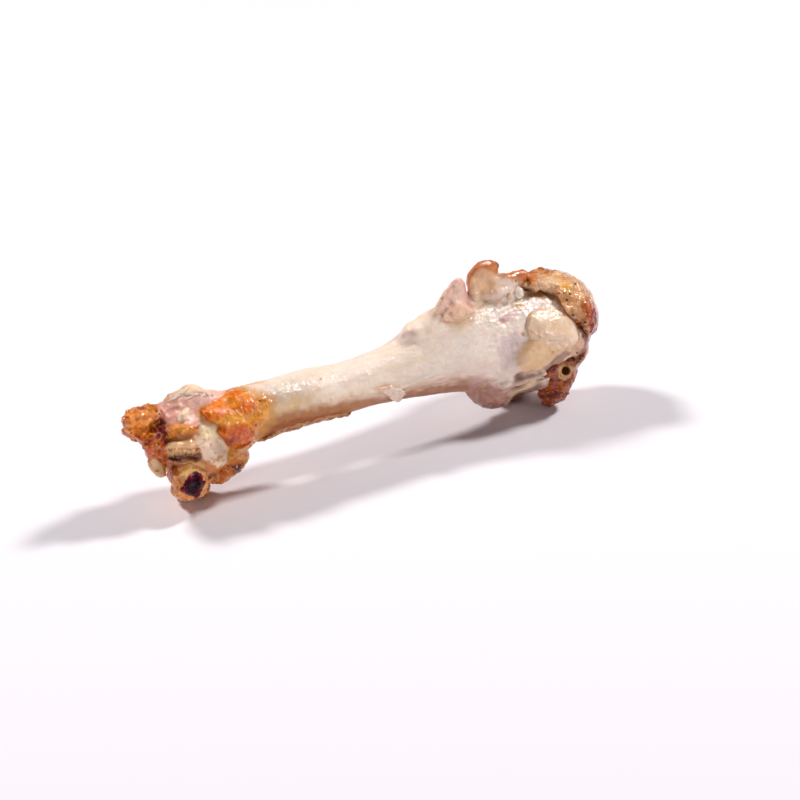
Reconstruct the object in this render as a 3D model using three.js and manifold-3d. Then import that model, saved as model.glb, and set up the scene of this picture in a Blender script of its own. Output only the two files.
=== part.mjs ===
// A leftover upper-wing bone of a roast chicken, picked nearly clean and lying on a table.
// Millimetres, +Z up. X runs along the bone: the elbow end is at -X and the broad shoulder end at +X.
// The origin is on the table under the middle of the bone.
import * as THREE from "three";
import { mergeVertices } from "three/addons/utils/BufferGeometryUtils.js";
import Module from "manifold-3d";

const wasm = await Module();
wasm.setup();

// ---- Driving sizes ----
const GAP = 0.3; // kept between tissue and the bone under it
const FINENESS = 0.085; // how far a facet may stray from the smooth form
const SHIFT = [-1.53, -0.57, 0]; // brings the middle of the finished piece to the origin

// The bone with its membrane, as stations from the elbow to the shoulder: x, y, z of the centre, then half its depth (across) and half its height.
const BONE = {
  stations: [
    [-36.2, 0.0, 10.6, 3.2, 3.6],
    [-32.5, 0.0, 10.3, 4.5, 4.9],
    [-28.0, 0.0, 10.1, 5.0, 5.4],
    [-23.0, 0.0, 10.9, 4.4, 4.55],
    [-18.0, 0.0, 11.6, 3.95, 4.0],
    [-11.0, 0.0, 11.8, 3.8, 3.85],
    [-4.0, 0.0, 11.45, 3.7, 3.75],
    [4.0, 0.0, 11.75, 3.95, 4.25],
    [10.0, 0.0, 12.2, 4.5, 5.3],
    [16.0, 0.0, 12.6, 5.3, 6.5],
    [22.0, 0.1, 12.0, 6.2, 7.7],
    [28.0, 0.2, 11.4, 7.0, 8.5],
    [33.0, 0.2, 10.9, 7.1, 8.1],
    [37.2, 0.2, 10.6, 6.2, 6.7],
    [40.8, 0.2, 10.6, 4.6, 4.9],
  ],
  squareness: 5, // how late the ends round off: 2 is an ellipsoid, more is blunter
};
const CREST = { at: [12.5, 0.6, 16.7], radii: [7.2, 2.0, 2.7], turn: [0, -14, 0] }; // ridge along the top, towards the shoulder
const LOWER_TUBERCLE = { at: [21.8, -1.0, 6.2], radii: [4.3, 4.2, 4.0], lump: [0.2, 1.0, 0.2] };
const REAR_TUBERCLE = { at: [29.5, 4.0, 4.7], radii: [5.0, 3.6, 5.0] };
const CONDYLE_UPPER = { at: [-32.8, 0.4, 12.7], radii: [3.4, 4.3, 2.9] };
const CONDYLE_LOWER = { at: [-30.0, -0.1, 7.3], radii: [4.3, 4.9, 3.7] };
const HEAD_RECESS = { at: [34.8, -7.4, 5.6], radii: [5.0, 3.3, 4.3], turn: [0, 20, 0] }; // under the cartilage's lower edge
const ELBOW_HOLLOW = { at: [-33.8, -4.9, 9.9], radii: [3.7, 3.2, 1.35], turn: [0, 12, 10] };

// The joint's gristle on the side that shows: an oval disc over a band that runs down from it, and the cut edge beside them.
const CARTILAGE_DISC = { at: [30.0, -6.6, 15.2], radii: [4.9, 4.0, 2.8], turn: [0, 23, 0] };
const CARTILAGE_BAND = { at: [27.2, -6.6, 11.6], radii: [6.3, 4.0, 2.9], turn: [0, -28, 0] };
const CARTILAGE_EDGE = { at: [36.0, -5.0, 11.2], radii: [2.3, 3.4, 3.6], turn: [0, 8, 0] };
const DISC_THICK = 1.35;
const BAND_THICK = 0.95;

// Browned skin lying over the shoulder like a hood.
const HOOD_THICK = 2.3;
const HOOD_AREA = { at: [35.3, 3.3, 17.0], radii: [11.4, 8.2, 6.8], turn: [0, 35, 0], lump: [0.45, 0.95, 0.3] };

// A tongue of skin that stands up beside it, with a web behind it.
const CURL = {
  stations: [
    [20.5, -0.8, 17.4, 2.1, 1.3],
    [20.4, -0.5, 20.2, 2.2, 1.0],
    [20.5, -0.2, 22.6, 2.3, 0.8],
    [21.2, 0.1, 24.4, 2.2, 0.7],
    [22.6, 0.2, 25.4, 1.3, 0.55],
  ],
  up: [0, -1, 0],
  squareness: 4,
};
const CURL_WEB = { at: [23.9, -0.6, 20.9], radii: [3.2, 1.7, 1.9], turn: [0, 6, 0] };

// Pink meat left on the crest.
const MEAT_COLUMN = { at: [16.0, -0.2, 21.5], radii: [1.7, 1.7, 2.7], turn: [0, 10, 0], lump: [0.2, 1.6, 0.5] };
const MEAT_FOLD = { at: [13.6, -3.1, 20.0], radii: [3.8, 1.6, 1.3], turn: [12, 0, -4], lump: [0.15, 1.4, 0.9] };
const MEAT_BASE = { at: [12.3, -0.8, 18.9], radii: [4.6, 2.9, 1.9], turn: [0, -16, 0] };
const MEAT_FLAP = { at: [8.4, -0.2, 17.6], radii: [2.1, 2.1, 1.5], turn: [0, -20, 0] };

// Browned gristle under the shoulder with a cut vein in it.
const GRISTLE = { at: [33.0, -3.7, 4.5], radii: [3.3, 3.1, 3.8], turn: [0, 22, 0], lump: [0.35, 1.4, 0.9] };
const GRISTLE_TIP = { at: [31.6, -2.2, 2.2], radii: [3.3, 2.8, 2.55], turn: [0, 0, 0], lump: [0.2, 1.6, 0.2] };
const VEIN = { at: [33.3, -6.6, 7.4], aim: [-0.38, -0.8, 0.46], bore: 0.7, wall: 0.5, depth: 2.4 };

// Skin and gristle at the elbow.
const ELBOW_SKIN_THICK = 1.0;
const ELBOW_SKIN_AREA = { at: [-23.6, -1.5, 12.6], radii: [5.4, 9.5, 8.4], turn: [0, 12, -6], lump: [0.5, 0.9, 0.4] };
const ELBOW_SKIN_UNDER = { at: [-24.7, -0.7, 5.0], radii: [3.7, 3.7, 2.7], turn: [0, -28, 0], lump: [0.3, 1.2, 0.2] };
const TIP_LOBE = { at: [-37.5, 0.4, 14.4], radii: [2.6, 3.1, 2.2], turn: [0, -15, 10], lump: [0.4, 1.7, 0.6] };
const TIP_CRUMBS = { at: [-35.6, -0.9, 10.9], radii: [1.9, 3.1, 3.1], turn: [0, 16, 0], lump: [0.35, 2.2, 0.8] };
const TIP_RIDGE = { at: [-33.9, -3.5, 13.6], radii: [3.7, 1.5, 1.2], turn: [0, 4, 4], lump: [0.2, 1.9, 0.1] };
const KNOB = { at: [-29.8, 0.7, 3.15], radii: [3.7, 3.4, 3.5], turn: [0, 10, 0], lump: [0.3, 1.5, 0.5] };
const POUCH = { at: [-35.7, -1.0, 7.5], radii: [1.25, 1.3, 1.7], turn: [0, 10, 0] };

// Scraps on the shaft.
const SCRAP = { at: [2.6, -3.3, 8.9], radii: [1.9, 1.0, 1.1], turn: [26, 12, 0], lump: [0.15, 2.2, 0.3] };
const DRIPPING_THICK = 0.8;
const DRIPPING_AREA = { at: [-11.0, -1.9, 7.0], radii: [8.4, 3.4, 2.6], turn: [0, 2, 0], lump: [0.3, 1.2, 0.7] };

// ---- Shapes ----

const deg = Math.PI / 180;

function toSolid(geometry) {
  geometry.deleteAttribute("normal");
  geometry.deleteAttribute("uv");
  const merged = mergeVertices(geometry, 1e-4);
  return new wasm.Manifold(
    new wasm.Mesh({
      numProp: 3,
      vertProperties: merged.attributes.position.array,
      triVerts: new Uint32Array(merged.index.array),
    }),
  );
}

// A soft unevenness: the share by which a surface stands out at a point, between -1 and 1.
function unevenness(p, pitch, seed) {
  const s = seed * 7.3;
  const a = Math.sin(pitch * p.x + 1.7 * Math.sin(0.9 * pitch * p.y + s) + s);
  const b = Math.sin(pitch * p.y + 1.3 * Math.sin(1.1 * pitch * p.z + 2 * s) + 1.9 * s);
  const c = Math.sin(pitch * p.z + 1.5 * Math.sin(pitch * p.x + 3 * s) + 0.7 * s);
  return (a + b + c) / 3;
}

// A lumpy ellipsoid. lump is [height of the lumps, how close together they are, seed].
function blob({ at, radii, turn = [0, 0, 0], lump = [0, 1, 0] }, grow = 0, around = 20, along = 14) {
  const g = new THREE.SphereGeometry(1, around, along);
  const e = new THREE.Euler(turn[0] * deg, turn[1] * deg, turn[2] * deg);
  const p = new THREE.Vector3();
  const n = new THREE.Vector3();
  const pos = g.attributes.position;
  for (let i = 0; i < pos.count; i++) {
    p.fromBufferAttribute(pos, i);
    n.copy(p);
    p.set(p.x * (radii[0] + grow), p.y * (radii[1] + grow), p.z * (radii[2] + grow));
    const far = new THREE.Vector3(p.x, p.y, p.z).applyEuler(e);
    p.addScaledVector(n, lump[0] * unevenness(far, lump[1], lump[2]));
    p.applyEuler(e);
    pos.setXYZ(i, p.x + at[0], p.y + at[1], p.z + at[2]);
  }
  return toSolid(g);
}

// A value of the stations between two of them, on the same curve as their centres.
function between(values, t) {
  const last = values.length - 1;
  const u = t * last;
  const i = Math.min(Math.floor(u), last - 1);
  const f = u - i;
  const b = values[i];
  const c = values[i + 1];
  const a = i > 0 ? values[i - 1] : 2 * b - c;
  const d = i < last - 1 ? values[i + 2] : 2 * c - b;
  return 0.5 * (2 * b + (c - a) * f + (2 * a - 5 * b + 4 * c - d) * f * f + (3 * b - a - 3 * c + d) * f * f * f);
}

// A rounded body drawn along stations of [x, y, z, half width, half height].
function sweep({ stations, up = [0, 0, 1], squareness = 4, lump = [0, 1, 0] }, grow = 0, around = 20, along = 30) {
  const curve = new THREE.CatmullRomCurve3(
    stations.map((s) => new THREE.Vector3(s[0], s[1], s[2])),
    false,
    "catmullrom",
    0.5,
  );
  const widths = stations.map((s) => s[3]);
  const heights = stations.map((s) => s[4]);
  const g = new THREE.SphereGeometry(1, around, along);
  const pos = g.attributes.position;
  const v = new THREE.Vector3();
  const length = curve.getLength();
  for (let i = 0; i < pos.count; i++) {
    v.fromBufferAttribute(pos, i);
    const s = v.y; // from -1 at the first end to 1 at the last
    const ring = Math.hypot(v.x, v.z) || 1;
    const t = Math.min(Math.max((s + 1) / 2, 0), 1);
    const full = Math.pow(Math.max(0, 1 - Math.pow(Math.abs(s), squareness)), 1 / squareness);
    const centre = curve.getPoint(t);
    const along = curve.getTangent(t);
    const n = new THREE.Vector3(...up).addScaledVector(along, -along.dot(new THREE.Vector3(...up))).normalize();
    const b = new THREE.Vector3().crossVectors(along, n);
    const c = v.x / ring;
    const d = v.z / ring;
    const poleward = Math.abs(s) > 0.999 ? grow * Math.sign(s) : grow * s * s * s;
    const w = (between(widths, t) + grow) * full;
    const h = (between(heights, t) + grow) * full;
    const out = centre.clone().addScaledVector(b, c * w).addScaledVector(n, d * h);
    const bump = lump[0] * unevenness(out, lump[1], lump[2]) * full;
    out.addScaledVector(b, c * bump).addScaledVector(n, d * bump).addScaledVector(along, poleward);
    pos.setXYZ(i, out.x, out.y, out.z);
  }
  return toSolid(g);
}

const join = (...solids) => solids.reduce((a, b) => a.add(b));
const largest = (solid) => solid.decompose().sort((a, b) => b.volume() - a.volume())[0];

// Everything under the table's surface is cut away, which leaves the small flats that the piece rests on.
const tableBox = new THREE.BoxGeometry(140, 80, 20);
tableBox.translate(0, 0, -10);
const table = toSolid(tableBox);

const shell = (thick, grow, ...areas) =>
  join(...areas.map((area) => sweep(BONE, thick + grow, 24, 32).intersect(blob(area, grow, 16, 12))));

const bone = (grow = 0) => {
  const whole = join(
    sweep(BONE, grow, 24, 34),
    blob(CREST, grow, 12, 10),
    blob(LOWER_TUBERCLE, grow, 16, 10),
    blob(REAR_TUBERCLE, grow, 16, 10),
    blob(CONDYLE_UPPER, grow, 12, 8),
    blob(CONDYLE_LOWER, grow, 12, 8),
  );
  return whole.subtract(blob(ELBOW_HOLLOW, -grow, 16, 10)).subtract(blob(HEAD_RECESS, -grow, 18, 12));
};
const cartilage = (grow = 0) =>
  join(shell(DISC_THICK, grow, CARTILAGE_DISC), shell(BAND_THICK, grow, CARTILAGE_BAND, CARTILAGE_EDGE));
const hood = (grow = 0) => shell(HOOD_THICK, grow, HOOD_AREA);
const curl = (grow = 0) => join(sweep(CURL, grow, 14, 14), blob(CURL_WEB, grow, 12, 10));
const meat = (grow = 0) =>
  join(
    blob(MEAT_COLUMN, grow, 12, 10),
    blob(MEAT_FOLD, grow, 12, 10),
    blob(MEAT_BASE, grow, 12, 8),
    blob(MEAT_FLAP, grow, 10, 8),
  );

const aim = new THREE.Quaternion().setFromUnitVectors(new THREE.Vector3(0, 1, 0), new THREE.Vector3(...VEIN.aim).normalize());
function tube(radius, from, to, sides = 12) {
  const g = new THREE.CylinderGeometry(radius, radius, to - from, sides);
  g.translate(0, (from + to) / 2, 0);
  g.applyQuaternion(aim);
  g.translate(...VEIN.at);
  return toSolid(g);
}
const gristle = () =>
  join(blob(GRISTLE, 0, 16, 12), blob(GRISTLE_TIP, 0, 14, 10), tube(VEIN.bore + VEIN.wall, -3.4, 0.3)).subtract(
    tube(VEIN.bore, -VEIN.depth, 2),
  );
const tip = (grow = 0) => join(blob(TIP_LOBE, grow, 14, 10), blob(TIP_CRUMBS, grow, 12, 10), blob(TIP_RIDGE, grow, 10, 8));
const knob = (grow = 0) => blob(KNOB, grow, 18, 14);
const pouch = () => blob(POUCH, 0, 12, 8);
const elbowSkin = (grow = 0) => join(shell(ELBOW_SKIN_THICK, grow, ELBOW_SKIN_AREA), blob(ELBOW_SKIN_UNDER, grow, 16, 12));
const scrap = () => blob(SCRAP, 0, 12, 8);
const dripping = () => shell(DRIPPING_THICK, 0, DRIPPING_AREA);

// ---- Pieces ----

const group = new THREE.Group();
group.position.set(...SHIFT);

function place(name, solid, color, roughness) {
  const made = largest(solid.subtract(table)).simplify(FINENESS);
  const { numProp, vertProperties, triVerts } = made.getMesh();
  const position = new Float32Array((vertProperties.length / numProp) * 3);
  for (let i = 0; i < position.length / 3; i++)
    for (let k = 0; k < 3; k++) position[3 * i + k] = vertProperties[numProp * i + k];
  const g = new THREE.BufferGeometry();
  g.setAttribute("position", new THREE.BufferAttribute(position, 3));
  g.setIndex(Array.from(triVerts));
  g.computeVertexNormals();
  const mesh = new THREE.Mesh(g, new THREE.MeshStandardMaterial({ color, roughness, metalness: 0 }));
  mesh.name = name;
  group.add(mesh);
}

const without = (solid, ...others) => others.reduce((a, b) => a.subtract(b), solid);
const boneClear = bone(GAP);
const cartilageClear = cartilage(GAP);
const hoodClear = hood(GAP);
const curlClear = curl(GAP);
const knobClear = knob(GAP);
const tipClear = tip(GAP);

place("bone", bone(), 0xe6d3ba, 0.42);
place("head_cartilage", without(cartilage(), boneClear), 0xe0b988, 0.3);
place("shoulder_skin", without(hood(), boneClear, cartilageClear), 0xbd7d47, 0.38);
place("skin_curl", without(curl(), boneClear, hoodClear), 0xc89a6c, 0.32);
place("meat_tag", without(meat(), boneClear, curlClear), 0xe3bda4, 0.45);
place("vein_gristle", without(gristle(), boneClear, cartilageClear, hoodClear), 0xa5622c, 0.4);
place("elbow_knob", without(knob(), boneClear), 0xc8793a, 0.45);
place("elbow_tip", without(tip(), boneClear, knobClear), 0xb9632c, 0.45);
place("elbow_pouch", without(pouch(), boneClear, knobClear, tipClear), 0xc79a70, 0.2);
place("elbow_skin", without(elbowSkin(), boneClear, knobClear, tipClear), 0xd07c2e, 0.35);
place("shaft_scrap", without(scrap(), boneClear), 0xeed6c4, 0.5);
place("dripping_strip", without(dripping(), boneClear, elbowSkin(GAP)), 0xb87330, 0.35);

export default group;
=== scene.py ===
"""A leftover upper-wing bone of a roast chicken, picked nearly clean: ivory shaft, browned skin and gristle at both ends.

Every piece is grown as a distance field from named sizes (millimetres, in the modelling place), turned into a mesh,
roughened, and coloured by zones. SHIFT brings the modelling place to the row frame.
"""
import math
import time

import bpy
import numpy as np
from mathutils import Matrix, Vector
from mathutils.bvhtree import BVHTree


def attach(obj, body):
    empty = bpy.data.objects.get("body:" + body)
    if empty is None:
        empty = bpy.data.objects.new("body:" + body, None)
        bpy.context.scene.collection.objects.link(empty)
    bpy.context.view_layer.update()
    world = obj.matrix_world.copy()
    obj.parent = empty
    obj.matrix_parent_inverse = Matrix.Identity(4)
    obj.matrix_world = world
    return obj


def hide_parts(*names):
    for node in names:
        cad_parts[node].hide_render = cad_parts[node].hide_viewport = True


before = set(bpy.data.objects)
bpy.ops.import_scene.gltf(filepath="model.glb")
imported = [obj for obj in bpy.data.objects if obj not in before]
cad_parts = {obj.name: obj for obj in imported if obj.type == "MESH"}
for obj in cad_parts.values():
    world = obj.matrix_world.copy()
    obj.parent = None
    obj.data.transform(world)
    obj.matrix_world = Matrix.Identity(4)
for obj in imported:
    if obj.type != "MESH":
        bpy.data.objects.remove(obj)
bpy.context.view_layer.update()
T0 = time.time()
F = np.float32
SHIFT = np.array([-1.53, -0.57, 0.0])

# ---------------------------------------------------------------- sizes (mm), as in the solids

STATIONS = np.array([
    [-36.2, 0.0, 10.6, 3.2, 3.6], [-32.5, 0.0, 10.3, 4.5, 4.9], [-28.0, 0.0, 10.1, 5.0, 5.4],
    [-23.0, 0.0, 10.9, 4.4, 4.55], [-18.0, 0.0, 11.6, 3.95, 4.0], [-11.0, 0.0, 11.8, 3.8, 3.85],
    [-4.0, 0.0, 11.45, 3.7, 3.75], [4.0, 0.0, 11.75, 3.95, 4.25], [10.0, 0.0, 12.2, 4.5, 5.3],
    [16.0, 0.0, 12.6, 5.3, 6.5], [22.0, 0.1, 12.0, 6.2, 7.7], [28.0, 0.2, 11.4, 7.0, 8.5],
    [33.0, 0.2, 10.9, 7.1, 8.1], [37.2, 0.2, 10.6, 6.2, 6.7], [40.8, 0.2, 10.6, 4.6, 4.9]])
HEAD_BALL = dict(at=(33.6, 0.2, 10.9), radii=(7.3, 6.9, 7.9))
CREST = dict(at=(12.5, 0.6, 16.7), radii=(7.2, 2.0, 2.7), turn=(0, -14, 0))
LOWER_TUBERCLE = dict(at=(22.3, -1.0, 6.2), radii=(3.9, 4.2, 4.0))
REAR_TUBERCLE = dict(at=(29.5, 4.0, 4.7), radii=(5.0, 3.6, 5.0))
CONDYLE_UPPER = dict(at=(-32.8, 0.4, 12.7), radii=(3.4, 4.3, 2.9))
CONDYLE_LOWER = dict(at=(-30.0, -0.1, 7.3), radii=(4.3, 4.9, 3.7))
ELBOW_HOLLOW = dict(at=(-33.8, -4.9, 9.9), radii=(3.7, 3.2, 1.35), turn=(0, 12, 10))
HEAD_RECESS = dict(at=(34.8, -7.4, 5.6), radii=(5.0, 3.3, 4.3), turn=(0, 20, 0))
CARTILAGE_DISC = dict(at=(30.0, -6.6, 15.2), radii=(4.9, 4.0, 2.8), turn=(0, 23, 0))
CARTILAGE_BAND = dict(at=(27.2, -6.6, 11.6), radii=(6.3, 4.0, 2.9), turn=(0, -28, 0))
CARTILAGE_EDGE = dict(at=(36.0, -5.0, 11.2), radii=(2.3, 3.4, 3.6), turn=(0, 8, 0))
HOOD_AREA = dict(at=(35.3, 3.3, 17.0), radii=(11.4, 8.2, 6.8), turn=(0, 35, 0))
GRISTLE = dict(at=(33.0, -3.7, 4.5), radii=(3.3, 3.1, 3.8), turn=(0, 22, 0))
GRISTLE_TIP = dict(at=(31.6, -2.2, 2.2), radii=(3.3, 2.8, 2.55))
ELBOW_SKIN_AREA = dict(at=(-23.6, -1.5, 12.6), radii=(5.4, 9.5, 8.4), turn=(0, 12, -6))
ELBOW_SKIN_UNDER = dict(at=(-24.7, -0.7, 5.0), radii=(3.7, 3.7, 2.7), turn=(0, -28, 0))
TIP_LOBE = dict(at=(-37.5, 0.4, 14.4), radii=(2.6, 3.1, 2.2), turn=(0, -15, 10))
TIP_CRUMBS = dict(at=(-35.6, -0.9, 10.9), radii=(1.9, 3.1, 3.1), turn=(0, 16, 0))
TIP_RIDGE = dict(at=(-33.9, -3.5, 13.6), radii=(3.7, 1.5, 1.2), turn=(0, 4, 4))
KNOB = dict(at=(-29.8, 0.7, 3.15), radii=(3.7, 3.4, 3.5), turn=(0, 10, 0))
POUCH = dict(at=(-35.7, -1.0, 7.5), radii=(1.25, 1.3, 1.7), turn=(0, 10, 0))
SCRAP = dict(at=(2.6, -3.3, 8.9), radii=(1.9, 1.0, 1.1), turn=(26, 12, 0))
DRIPPING_AREA = dict(at=(-11.0, -1.9, 7.0), radii=(8.4, 3.4, 2.6), turn=(0, 2, 0))

# ---------------------------------------------------------------- noise

_rng = np.random.default_rng(11)
_grad = _rng.normal(size=(32, 32, 32, 3)).astype(F)
_grad /= np.linalg.norm(_grad, axis=-1, keepdims=True)
_cell = _rng.random((32, 32, 32, 4)).astype(F)


def noise(p, size, seed=0):
    """Gradient noise, about -1 to 1, with features of about size mm. size may be three numbers, to stretch it."""
    q = p / np.asarray(size, F) + F(seed * 5.37) + np.array([0.31, 7.7, 3.9], F)
    i = np.floor(q).astype(np.int32)
    f = (q - i).astype(F)
    u = f * f * f * (f * (f * 6 - 15) + 10)
    out = 0
    for a in (0, 1):
        for b in (0, 1):
            for c in (0, 1):
                g = _grad[(i[:, 0] + a) & 31, (i[:, 1] + b) & 31, (i[:, 2] + c) & 31]
                d = (g * (f - np.array([a, b, c], F))).sum(1)
                w = (u[:, 0] if a else 1 - u[:, 0]) * (u[:, 1] if b else 1 - u[:, 1]) * (u[:, 2] if c else 1 - u[:, 2])
                out = out + d * w
    return out * F(1.6)


def fbm(p, size, octaves=3, seed=0, gain=0.5):
    total, amp = 0, 1.0
    for k in range(octaves):
        total = total + amp * noise(p, np.asarray(size, F) / 2 ** k, seed + 3 * k)
        amp *= gain
    return total


def cells(p, size, seed=0):
    """Distance to the nearest and second nearest of scattered points, in cell sizes, and a random number of the nearest."""
    q = p / np.asarray(size, F) + F(seed * 3.71)
    i = np.floor(q).astype(np.int32)
    f = (q - i).astype(F)
    d1 = np.full(len(p), 9, F)
    d2 = np.full(len(p), 9, F)
    who = np.zeros(len(p), F)
    for a in (-1, 0, 1):
        for b in (-1, 0, 1):
            for c in (-1, 0, 1):
                r = _cell[(i[:, 0] + a) & 31, (i[:, 1] + b) & 31, (i[:, 2] + c) & 31]
                d = np.sqrt(((r[:, :3] + np.array([a, b, c], F) - f) ** 2).sum(1))
                near = d < d1
                d2 = np.where(near, d1, np.minimum(d2, d))
                who = np.where(near, r[:, 3], who)
                d1 = np.where(near, d, d1)
    return d1, d2, who


# ---------------------------------------------------------------- the view (mm, modelling place)

YAW, RISE, LENS, AWAY, AIM, AIM_AT = 34.0, 24.0, 110.0, 363.0, (0.0, 0.0, 10.9), (365.0, 385.0)
FOCAL = 800 * LENS / 36
_p, _e = math.radians(YAW), math.radians(RISE)
RIGHT = np.array([math.cos(_p), -math.sin(_p), 0.0])
BACK = np.array([-math.sin(_p) * math.cos(_e), -math.cos(_p) * math.cos(_e), math.sin(_e)])
UP = np.cross(BACK, RIGHT)
EYE = np.array(AIM) - RIGHT * (AIM_AT[0] - 400) / FOCAL * AWAY + UP * (AIM_AT[1] - 400) / FOCAL * AWAY + BACK * AWAY


def at(px, py, y=0.0):
    """The point at depth y that the view shows at that place."""
    d = RIGHT * (px - 400) / FOCAL - UP * (py - 400) / FOCAL - BACK
    return tuple(EYE + d * (y - EYE[1]) / d[1])


def flat(P):
    """Where the view shows points, in its 800 x 800 frame."""
    x, y, z = P[0] - F(EYE[0]), P[1] - F(EYE[1]), P[2] - F(EYE[2])
    dot = lambda a: x * F(a[0]) + y * F(a[1]) + z * F(a[2])
    w = -dot(BACK)
    return 400 + F(FOCAL) * dot(RIGHT) / w, 400 - F(FOCAL) * dot(UP) / w


PX = FOCAL / AWAY  # pixels in a millimetre


def outline(P, points):
    """Signed distance (mm, negative inside) to an outline given in the view's frame, carried straight back through the object."""
    u, v = flat(P)
    pts = np.array(points, float)
    best, inside = None, None
    for k in range(len(pts)):
        a, b = pts[k], pts[(k + 1) % len(pts)]
        e = b - a
        wx, wy = u - F(a[0]), v - F(a[1])
        t = np.clip((wx * F(e[0]) + wy * F(e[1])) / F((e * e).sum()), 0, 1)
        d = (wx - t * F(e[0])) ** 2 + (wy - t * F(e[1])) ** 2
        best = d if best is None else np.minimum(best, d)
        c1 = v >= F(a[1])
        c2 = v < F(b[1])
        c3 = F(e[0]) * wy > F(e[1]) * wx
        flip = (c1 & c2 & c3) | (~c1 & ~c2 & ~c3)
        inside = flip if inside is None else inside ^ flip
    return np.where(inside, -1, 1).astype(F) * np.sqrt(best) / F(PX)


# ---------------------------------------------------------------- distance fields (mm)


def turned(turn):
    x, y, z = np.radians(turn)
    cx, sx, cy, sy, cz, sz = math.cos(x), math.sin(x), math.cos(y), math.sin(y), math.cos(z), math.sin(z)
    rx = np.array([[1, 0, 0], [0, cx, -sx], [0, sx, cx]])
    ry = np.array([[cy, 0, sy], [0, 1, 0], [-sy, 0, cy]])
    rz = np.array([[cz, -sz, 0], [sz, cz, 0], [0, 0, 1]])
    return rx @ ry @ rz


def blob(P, at, radii, turn=(0, 0, 0), grow=0.0):
    x, y, z = P[0] - F(at[0]), P[1] - F(at[1]), P[2] - F(at[2])
    r = turned(turn).astype(F)
    rr = [max(a + grow, 0.05) for a in radii]
    k0 = k1 = 0
    for k in range(3):
        q = x * r[0, k] + y * r[1, k] + z * r[2, k]
        k0 = k0 + (q / F(rr[k])) ** 2
        k1 = k1 + (q / F(rr[k] ** 2)) ** 2
    k0 = np.sqrt(k0)
    return k0 * (k0 - 1) / np.maximum(np.sqrt(k1), F(1e-4))


def rod(P, a, b, ra, rb=None):
    """A rounded rod from a to b."""
    rb = ra if rb is None else rb
    a, b = np.array(a, F), np.array(b, F)
    ab = b - a
    pa = [P[k] - a[k] for k in range(3)]
    t = np.clip((pa[0] * ab[0] + pa[1] * ab[1] + pa[2] * ab[2]) / F((ab * ab).sum()), 0, 1)
    d = np.sqrt(sum((pa[k] - t * ab[k]) ** 2 for k in range(3)))
    return d - (F(ra) + t * F(rb - ra))


def path(P, points, radii, blend=0.4):
    out = None
    for k in range(len(points) - 1):
        d = rod(P, points[k], points[k + 1], radii[k], radii[k + 1])
        out = d if out is None else soft_min(out, d, blend)
    return out


def soft_min(a, b, k):
    h = np.clip(0.5 + 0.5 * (b - a) / F(k), 0, 1)
    return b * (1 - h) + a * h - F(k) * h * (1 - h)


def soft_max(a, b, k):
    return -soft_min(-a, -b, k)


def _table():
    n = len(STATIONS) - 1
    t = np.linspace(0, 1, 900)
    u = t * n
    i = np.minimum(u.astype(int), n - 1)
    f = (u - i)[:, None]
    S = STATIONS
    ext = np.vstack([2 * S[0] - S[1], S, 2 * S[-1] - S[-2]])
    a, b, c, d = ext[i], ext[i + 1], ext[i + 2], ext[i + 3]
    v = 0.5 * (2 * b + (c - a) * f + (2 * a - 5 * b + 4 * c - d) * f ** 2 + (3 * b - a - 3 * c + d) * f ** 3)
    full = np.maximum(0, 1 - np.abs(2 * t - 1) ** 5) ** 0.2
    v[:, 3] *= full
    v[:, 4] *= full
    return v


TABLE = _table()


def loft(P):
    x = P[0]
    get = lambda k: np.interp(x.ravel(), TABLE[:, 0], TABLE[:, k]).reshape(x.shape).astype(F)
    w, h = np.maximum(get(3), F(0.6)), np.maximum(get(4), F(0.6))
    y, z = P[1] - get(1), P[2] - get(2)
    k0 = np.sqrt((y / w) ** 2 + (z / h) ** 2)
    k1 = np.sqrt((y / w ** 2) ** 2 + (z / h ** 2) ** 2)
    d = k0 * (k0 - 1) / np.maximum(k1, F(1e-4))
    over = np.maximum(np.maximum(TABLE[0, 0] - x, x - TABLE[-1, 0]), 0)
    return np.where(over > 0, np.sqrt(np.maximum(d + F(0.6), 0) ** 2 + over ** 2) - F(0.6) + 0 * d, d).astype(F)


def core(P):
    """The plain bone, which skins lie on."""
    d = soft_min(loft(P), blob(P, **HEAD_BALL), 1.5)
    return d


# ---------------------------------------------------------------- field to mesh


class Grid:
    def __init__(self, lo, hi, step):
        self.lo, self.step = np.array(lo, float), step
        n = np.ceil((np.array(hi, float) - self.lo) / step).astype(int) + 1
        axes = [(self.lo[k] + step * np.arange(n[k])).astype(F) for k in range(3)]
        self.P = (axes[0][:, None, None], axes[1][None, :, None], axes[2][None, None, :])
        self.shape = tuple(n)

    def points(self):
        return np.stack([np.broadcast_to(a, self.shape).ravel() for a in self.P], 1)


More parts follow.
